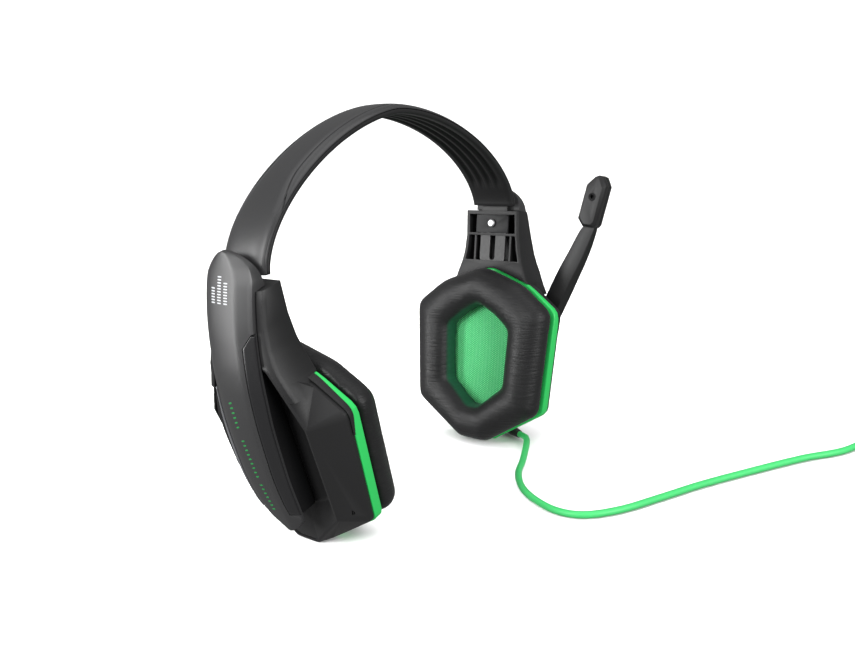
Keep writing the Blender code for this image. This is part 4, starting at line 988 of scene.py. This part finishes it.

# %% [markdown]
# Leatherette has fine creases that run one way, and a soft sheen where it is stretched. The
# inner wall of the opening is rougher and painted dark green, a painted reflection of the green
# screen; a smooth mask stored on the mesh tells the two apart, so the colour change stays on the
# surface wherever the cushion goes.

# %% Leatherette and the inner wall's painted reflection
def leatherette(name):
    look = Look(name, (0.012, 0.012, 0.0125), 0.5, Specular_IOR_Level=0.35, Sheen_Weight=0.05,
                Sheen_Roughness=0.5)
    mask = look.node("ShaderNodeAttribute", {"attribute_name": "wall_painted_reflection"}, out="Fac")
    at = look.place(stretch=(0.35, 0.35, 2.2))
    bend = look.noise(at, 160.0, 2.0)
    crease = look.noise(look.place(turn=(0.12, 0.0, 0.05), stretch=(0.25, 0.25, 2.6)), 420.0,
                        3.0, 0.65)
    pores = look.node("ShaderNodeTexVoronoi", {"feature": "DISTANCE_TO_EDGE"},
                      {"Vector": look.place(), "Scale": 1500.0}, out="Distance")
    tone = look.noise(look.place(), 45.0, 3.0)
    look.bump(crease * 0.9 + bend * 0.5 + pores * 0.15, 0.30 * MM, 1.0)
    look.feed("Roughness", (crease - 0.5) * 0.25 + (tone - 0.5) * 0.15 + mask * 0.3 + 0.46)
    skin = look.mix((tone - 0.2).held(), (0.009, 0.009, 0.0095), (0.018, 0.018, 0.019))
    # the dark green where the mask is set is a painted reflection of the green screen on the inner wall
    look.feed("Base Color", look.mix(mask, skin, (0.006, 0.085, 0.040)))
    return look.material


LEATHER = leatherette("leatherette")


def depth_inside(u, v):
    """How far inside the ear outline a point lies, in metres; below zero outside it."""
    best = 9.0
    count = len(EAR)
    for i in range(0, count, 2):
        a = EAR[i]
        b = EAR[(i + 2) % count]
        way = (b - a).normalized()
        out = Vector((way.y, -way.x))
        best = min(best, -(Vector((u, v)) - a).dot(out))
    return best


for side, tag in SIDES:
    cushion = cushions[tag]
    shaped(cushion)
    values = []
    origin = cup_point(side, 0.0, 0.0, 0.0)
    axes = [cup_dir(side, 1.0, 0.0, 0.0), cup_dir(side, 0.0, 1.0, 0.0), cup_dir(side, 0.0, 0.0, 1.0)]
    for vertex in cushion.data.vertices:
        p = vertex.co - origin
        inside = depth_inside(p.dot(axes[0]), p.dot(axes[1]))
        values.append(min(1.0, max(0.0, (inside + 1.9 * MM) / (0.9 * MM)))
                      * min(1.0, max(0.0, (p.dot(axes[2]) + 12.6 * MM) / (1.0 * MM))))
    # mask of the cushion's inner wall, where the green reflection is painted
    wall_painted_reflection = cushion.data.attributes.new("wall_painted_reflection", "FLOAT", "POINT")
    wall_painted_reflection.data.foreach_set("value", values)
    settle(cushion, LEATHER, tag + "_arm", (tag + "_ear_cushion",), 0)
    print(cushion.name, len(cushion.data.polygons), "wall_painted_reflection", round(sum(values) / len(values), 3))

# %% [markdown]
# ## Cloth screens
# The green screen over the loudspeaker is a coarse cloth: rows of small knots at a slant. The
# base is one domed sheet; Geometry Nodes put one low knot on every point of a slanted grid, so
# the number, size and spacing of the knots stay three plain inputs.

# %% A tree that puts a knot on every point
def instance_tree(name, sizes):
    """Geometry Nodes: one rounded bar per point, standing along 'out' and lying along 'lay'."""
    tree = bpy.data.node_groups.new(name, "GeometryNodeTree")
    face = tree.interface
    face.new_socket("Geometry", in_out="INPUT", socket_type="NodeSocketGeometry")
    for key, value in sizes.items():
        socket = face.new_socket(key, in_out="INPUT", socket_type="NodeSocketFloat")
        socket.default_value = value
    face.new_socket("Finish", in_out="INPUT", socket_type="NodeSocketMaterial")
    face.new_socket("Geometry", in_out="OUTPUT", socket_type="NodeSocketGeometry")
    given = tree.nodes.new("NodeGroupInput")
    result = tree.nodes.new("NodeGroupOutput")

    def add(kind, settings=None, inputs=None):
        made = tree.nodes.new(kind)
        for key, value in (settings or {}).items():
            setattr(made, key, value)
        for key, value in (inputs or {}).items():
            if isinstance(value, bpy.types.NodeSocket):
                tree.links.new(value, made.inputs[key])
            else:
                made.inputs[key].default_value = value
        return made

    size = add("ShaderNodeCombineXYZ", None, {"X": given.outputs["Width"],
                                              "Y": given.outputs["Length"],
                                              "Z": given.outputs["Height"]})
    knot = add("GeometryNodeMeshCube", None, {"Size": size.outputs[0]})
    soft = add("GeometryNodeSubdivisionSurface", None, {"Mesh": knot.outputs[0], "Level": 1,
                                                        "Edge Crease": given.outputs["Crease"]})
    out = add("GeometryNodeInputNamedAttribute", {"data_type": "FLOAT_VECTOR"}, {"Name": "out"})
    lay = add("GeometryNodeInputNamedAttribute", {"data_type": "FLOAT_VECTOR"}, {"Name": "lay"})
    stand = add("FunctionNodeAlignRotationToVector", {"axis": "Z"}, {"Vector": out.outputs[0]})
    turned = add("FunctionNodeAlignRotationToVector", {"axis": "Y", "pivot_axis": "Z"},
                 {"Rotation": stand.outputs[0], "Vector": lay.outputs[0]})
    placed = add("GeometryNodeInstanceOnPoints", None,
                 {"Points": given.outputs["Geometry"], "Instance": soft.outputs[0],
                  "Rotation": turned.outputs[0]})
    real = add("GeometryNodeRealizeInstances", None, {"Geometry": placed.outputs[0]})
    finish_node = add("GeometryNodeSetMaterial", None, {"Geometry": real.outputs[0],
                                                        "Material": given.outputs["Finish"]})
    tree.links.new(finish_node.outputs[0], result.inputs[0])
    return tree


def bars_on(name, tree, points, outs, lays, material, sizes):
    """Plain mesh of the tree's result on the given points."""
    mesh = bpy.data.meshes.new(name)
    mesh.from_pydata([tuple(p) for p in points], [], [])
    for key, values in (("out", outs), ("lay", lays)):
        layer = mesh.attributes.new(key, "FLOAT_VECTOR", "POINT")
        layer.data.foreach_set("vector", [c for value in values for c in value])
    thing = bpy.data.objects.new(name, mesh)
    bpy.context.scene.collection.objects.link(thing)
    step = thing.modifiers.new("bars", "NODES")
    step.node_group = tree
    for item in tree.interface.items_tree:
        if item.in_out == "INPUT" and item.name in sizes:
            step[item.identifier] = sizes[item.name]
        elif item.in_out == "INPUT" and item.name == "Finish":
            step[item.identifier] = material
    shaped(thing)
    face_outward(thing.data)
    return thing


BARS = instance_tree("bars_on_points", {"Width": 0.001, "Length": 0.002, "Height": 0.0005,
                                        "Crease": 0.0})
print("tree inputs", [i.name for i in BARS.interface.items_tree if i.in_out == "INPUT"])

# %% [markdown]
# The cloth has two greens: the knots are painted lighter as lit thread, and the ground between
# them is painted a deeper green as shade between the knots.

# %% Make the screens
def woven(name, colour, darker):
    look = Look(name, colour, 0.75, Sheen_Weight=0.25, Sheen_Roughness=0.4,
                Specular_IOR_Level=0.25)
    at = look.place()
    fibre = look.noise(look.place(stretch=(1.0, 3.0, 1.0)), 2600.0, 3.0, 0.7)
    broad = look.noise(at, 60.0, 2.0)
    look.bump(fibre, 0.05 * MM)
    look.feed("Roughness", (fibre - 0.5) * 0.2 + 0.75)
    look.feed("Base Color", look.mix((fibre * 0.6 + broad * 0.4).held(), darker, colour))
    return look.material


# painted light on one cloth: the knots' brighter green is painted as lit, the ground's deeper green as
# painted shade between them
KNOTS_PAINTED_LIT = woven("green_cloth", (0.30, 0.95, 0.46), (0.17, 0.80, 0.32))
GROUND_PAINTED_SHADE = woven("green_cloth_painted_shade", (0.10, 0.62, 0.23), (0.05, 0.44, 0.15))
SCREEN = inset(EAR, -3.5 * MM)
KNOT_PITCH = 1.15 * MM
KNOT_ROWS = 34
SLANT = math.radians(38.0)


def dome(u, v):
    """Small bulge of the stretched cloth towards the ear."""
    r = (u / (22.0 * MM)) ** 2 + (v / (31.0 * MM)) ** 2
    return -1.45 * MM - 0.9 * MM * max(0.0, 1.0 - r)


def inside_of(line, u, v):
    hit = False
    count = len(line)
    for i in range(count):
        a = line[i]
        b = line[(i + 1) % count]
        if (a.y > v) != (b.y > v) and u < (b.x - a.x) * (v - a.y) / (b.y - a.y) + a.x:
            hit = not hit
    return hit


for side, tag in SIDES:
    loops = []
    for share in (0.999, 0.9, 0.78, 0.64, 0.5, 0.36, 0.22, 0.1):
        loops.append([cup_point(side, p.x * share, p.y * share, dome(p.x * share, p.y * share))
                      for p in SCREEN])
    back_loop = [cup_point(side, p.x, p.y, -0.95 * MM) for p in SCREEN]
    sheet = loft(tag + "_screen", [back_loop] + loops)
    settle(sheet, GROUND_PAINTED_SHADE, tag + "_arm", (tag + "_cloth_screen",), 40.0)
    points, outs, lays = [], [], []
    for i in range(-KNOT_ROWS, KNOT_ROWS + 1):
        for j in range(-KNOT_ROWS, KNOT_ROWS + 1):
            a = i * KNOT_PITCH + (0.5 * KNOT_PITCH if j % 2 else 0.0)
            b = j * KNOT_PITCH * 0.78
            u = a * math.cos(SLANT) - b * math.sin(SLANT)
            v = a * math.sin(SLANT) + b * math.cos(SLANT)
            if inside_of(SCREEN, u * 1.03, v * 1.03):
                points.append(cup_point(side, u, v, dome(u, v)))
                outs.append(cup_dir(side, 0.0, 0.0, -1.0).normalized())
                lays.append(cup_dir(side, math.cos(SLANT), math.sin(SLANT), 0.0).normalized())
    knots = bars_on(tag + "_screen_knots", BARS, points, outs, lays, KNOTS_PAINTED_LIT,
                    {"Width": 0.62 * MM, "Length": 0.95 * MM, "Height": 0.42 * MM, "Crease": 0.0})
    settle(knots, KNOTS_PAINTED_LIT, tag + "_arm", (), 0)
    print(knots.name, len(points), "knots", len(knots.data.polygons), "faces")

# %% [markdown]
# ## Marks on the blades
# The blades carry a printed mark near the top and a line of print along the lower half. Both are
# replaced by plain generic ones: three level bars in white and a row of slanted green dashes,
# laid on the surface by the same tree.

# %% Print the marks
WHITE = moulded("white_print", (0.62, 0.64, 0.66), 0.5, grain=1500.0, depth=0.003 * MM, wear=0.0)
INK = moulded("green_print", (0.012, 0.26, 0.055), 0.5, grain=1500.0, depth=0.003 * MM, wear=0.0)


def on_blade(side, u, v, lift=0.05 * MM):
    """Point on the blade, the way out of it and the way up it."""
    step = 0.4 * MM
    p = cup_point(side, u, v, blade_height(v, u) + lift)
    along_u = cup_point(side, u + step, v, blade_height(v, u + step) + lift) - p
    along_v = cup_point(side, u, v + step, blade_height(v + step, u) + lift) - p
    out = along_u.cross(along_v).normalized()
    if out.dot(cup_dir(side, 0.0, 0.0, 1.0)) < 0.0:
        out = -out
    return p, out, along_u.normalized(), along_v.normalized()


for side, tag in SIDES:
    points, outs, lays = [], [], []
    rows = ((-7.5, 3), (-3.6, 5), (0.3, 4))
    for u, height in rows:
        for k in range(height * 2):
            p, out, forward, upward = on_blade(side, u * MM, (73.6 + k * 1.05) * MM)
            points.append(p)
            outs.append(out)
            lays.append(forward)
    mark = bars_on(tag + "_level_mark", BARS, points, outs, lays, WHITE,
                   {"Width": 0.62 * MM, "Length": 2.5 * MM, "Height": 0.14 * MM, "Crease": 0.9})
    settle(mark, WHITE, tag + "_arm", (), 30.0)
    points, outs, lays = [], [], []
    for k in range(25):
        t = k / 24
        if k in (6, 7, 17):
            continue
        u = (-5.4 + 4.2 * t) * MM
        v = (33.0 - 52.0 * t) * MM
        p, out, forward, upward = on_blade(side, u, v)
        points.append(p)
        outs.append(out)
        lays.append((forward + upward * 0.35).normalized())
    dashes = bars_on(tag + "_dashes", BARS, points, outs, lays, INK,
                     {"Width": 0.75 * MM, "Length": 2.3 * MM, "Height": 0.14 * MM, "Crease": 0.9})
    settle(dashes, INK, tag + "_arm", (), 30.0)
    print(mark.name, dashes.name, len(points))

# %% [markdown]
# ## Cord relief and microphone port
# Where the cord leaves the cup a rubber sleeve takes the bending, thick at the shell and tapering
# in rings to the cord. The microphone head has a small ring round its sound port.

# %% Turn the relief and the port ring
def turned_on(name, origin, way, profile, segments=32, closed=False):
    """Profile of (radius, distance) turned about a direction."""
    side_way = way.orthogonal().normalized()
    other = way.cross(side_way)
    loops = []
    for radius, distance in profile:
        loops.append([origin + way * distance
                      + (side_way * math.cos(2 * math.pi * k / segments)
                         + other * math.sin(2 * math.pi * k / segments)) * radius
                      for k in range(segments)])
    return loft(name, loops, ring=closed)


EXIT_AT = MIDDLE + exit_at
relief_profile = [(1.75 * MM, -4.6 * MM), (2.6 * MM, -4.8 * MM), (2.6 * MM, 1.2 * MM)]
for k in range(5):
    base = (1.5 + 1.25 * k) * MM
    wide = (2.6 - 0.10 * k) * MM
    relief_profile += [(wide, base), (wide - 0.08 * MM, base + 0.62 * MM),
                       (wide - 0.42 * MM, base + 0.72 * MM), (wide - 0.46 * MM, base + 1.1 * MM)]
relief_profile += [(2.1 * MM, 7.7 * MM), (1.95 * MM, 8.3 * MM), (1.74 * MM, 8.4 * MM)]
relief = turned_on("cord_relief_finished", EXIT_AT, exit_run, relief_profile, closed=True)
settle(relief, RUBBER, "left_arm", ("cord_relief",), 30.0)
HEAD_TILT = math.radians(13.0)
port_u = 49.6 * MM + 2.2 * MM * math.sin(HEAD_TILT)
port_v = 84.0 * MM + 2.2 * MM * math.cos(HEAD_TILT)
port_at = cup_point(LEFT, port_u, port_v, 15.2 * MM)
port = turned_on("mic_port_ring", port_at, cup_dir(LEFT, 0.0, 0.0, 1.0).normalized(),
                 [(1.25 * MM, 0.3 * MM), (1.25 * MM, -0.22 * MM), (1.45 * MM, -0.36 * MM),
                  (1.95 * MM, -0.30 * MM), (2.1 * MM, 0.02 * MM), (2.1 * MM, 0.3 * MM)], closed=True)
settle(port, DEEP, "microphone", (), 30.0)
print("relief", len(relief.data.polygons), "port", len(port.data.polygons))

# %% [markdown]
# ## Lip over the ring
# The green ring shows in full along the lower cup and thins out towards the top, where the
# shell's lip reaches over it. The lip is a thin skin on the cup's outline whose lower edge
# follows that taper.

# %% Sweep the lip
ring_shows = smooth([(14, 4.9), (22, 3.7), (30, 2.7), (40, 1.7), (48, 1.3)])
LIP_FOOT = 15.0 * MM
LIP_EASE = 9.0 * MM
LIP_TOP = 5.6 * MM
RIM_LINE = even(CUP, 260)
for side, tag in SIDES:
    line = [p for p in RIM_LINE if p.y > LIP_FOOT]
    line.sort(key=lambda p: math.atan2(p.x, p.y - LIP_FOOT))
    loops = []
    for k, p in enumerate(line):
        before = line[max(k - 2, 0)]
        after = line[min(k + 2, len(line) - 1)]
        way = (after - before).normalized()
        out = Vector((-way.y, way.x))
        if out.dot(p) < 0.0:
            out = -out
        low = ring_shows(p.y)
        proud = min(1.0, (p.y - LIP_FOOT) / LIP_EASE)
        section = ((-0.3 * MM, low), (0.22 * MM * proud, low + 0.1 * MM),
                   (0.34 * MM * proud, low + 0.5 * MM), (0.2 * MM * proud, LIP_TOP),
                   (-0.3 * MM, LIP_TOP))
        loops.append([cup_point(side, p.x + out.x * s, p.y + out.y * s, n) for s, n in section])
    lip = loft(tag + "_ring_lip", loops)
    settle(lip, BLACK, tag + "_arm", (), 40.0)
    print(lip.name, len(lip.data.polygons))

# %% [markdown]
# ## Microphone boom
# The boom is one flat, slightly wedge-shaped arm that disappears into the microphone's head.

# %% Loft the boom
BOOM_FOOT = -5.5
BOOM_TIP = 71.6
boom_rear = smooth([(BOOM_FOOT, 17.4), (-4.6, 15.8), (-3, 14.3), (0, 13.5), (4, 13.9), (8, 15.8),
                    (13.5, 17.8), (25, 21.2), (34, 24.7), (47.5, 31.0), (59, 37.2), (66, 40.8),
                    (69.6, 42.9), (BOOM_TIP, 44.6)])
boom_wide = smooth([(BOOM_FOOT, 3.2), (-4.6, 6.4), (-3, 9.4), (0, 11.0), (4, 10.6), (8, 9.2),
                    (13.5, 9.2), (25, 10.2), (34, 10.4), (47.5, 10.6), (59, 9.6), (69.6, 8.0),
                    (BOOM_TIP, 6.0)])
boom_lean = smooth([(BOOM_FOOT, 0.2), (6, 0.3), (13.5, 1.8), (34, 2.8), (47.5, 2.1), (59, 1.4),
                    (BOOM_TIP, 0.3)])
boom_deep = smooth([(BOOM_FOOT, 2.7), (6, 2.8), (13.5, 3.6), (34, 4.6), (59, 4.4),
                    (BOOM_TIP, 3.8)])
BOOM_N = 18.4 * MM
loops = []
for v in spread(BOOM_FOOT * MM, 2 * MM, 14) + spread(3 * MM, BOOM_TIP * MM, 48):
    rear = boom_rear(v)
    front = rear + boom_wide(v)
    lean = boom_lean(v)
    deep = boom_deep(v)
    section = [(rear, 0.6 * deep), (rear, 0.0), (front, 0.0), (front + lean, 0.75 * deep),
               (front + lean - 0.8 * MM, deep), (rear + 1.2 * MM, deep)]
    loops.append(station(LEFT, v, [(u, BOOM_N + n) for u, n in section]))
boom = loft("mic_boom_arm", loops)
soften(boom, 0.35 * MM, 30.0, 2)
settle(boom, BLACK, "microphone", ("mic_boom",), 36.0)
print(boom.name, len(boom.data.polygons))

# %% [markdown]
# ## The other rigid pieces
# These keep the mechanical model's own shape, which is already right; they only need their real
# edges rounded.

# %% Round the other rigid pieces
made_pieces = []
for tag, body in (("right", "right_arm"), ("left", "left_arm")):
    for piece, material, bevel in (
            ("cup_housing", BLACK, 0.35 * MM), ("blade_carrier", DEEP, 0.3 * MM),
            ("trim_ring", GREEN, 0.2 * MM), ("guide_plate", INNER, 0.12 * MM),
            ("guide_screw", STEEL, 0.1 * MM)):
        made_pieces.append(finish("%s_%s_finished" % (tag, piece), "%s_%s" % (tag, piece), body,
                                  material, bevel))
for piece, material, bevel in (
        ("mic_hub", BLACK, 0.2 * MM),
        ("mic_head_inner", BLACK, 0.3 * MM), ("mic_head_outer", BLACK, 0.3 * MM)):
    made_pieces.append(finish(piece + "_finished", piece, "microphone", material, bevel))
print("finished", len(made_pieces), "faces", sum(len(o.data.polygons) for o in made_pieces))

# %% [markdown]
# Hidden pieces keep the mechanical shape and only take a real finish, for whoever opens the
# headset up in another scene; the capsule, seen through the microphone port, is near-black as painted
# shade instead.

# %% Finishes for what stays as it is
# the baffle screws are dark because the tips of the lower two reach through the shell's face
# the capsule is near-black as painted shade, so the microphone port shows dark instead of the steel's
# reflection
FINISH_OF = {"baffle_screw": DEEP, "spring": SPRING, "tongue": COATED, "screw": STEEL,
             "magnet": STEEL, "nut": STEEL, "capsule": DEEP, "membrane": FILM, "pin": GILT,
             "relief": RUBBER, "tie": RUBBER, "body": RUBBER}
for node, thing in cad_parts.items():
    look = next((m for word, m in FINISH_OF.items() if word in node), INNER)
    if node == "band_outer_shell" or node.endswith("_blade"):
        look = GREY
    elif node == "band_inner_cover":
        look = BLACK
    elif "cord_coil" in node or node in ("cord", "cord_tail"):
        look = SKIN
    elif "cloth" in node:
        look = GREEN
    elif "cushion" in node and "plate" not in node:
        look = DEEP
    thing.data.materials.clear()
    thing.data.materials.append(look)
print("finishes on", len(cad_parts), "nodes")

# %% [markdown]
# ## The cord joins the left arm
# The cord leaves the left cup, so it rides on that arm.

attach(cord, "left_arm")
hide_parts("cord", "cord_coil", "cord_tail")
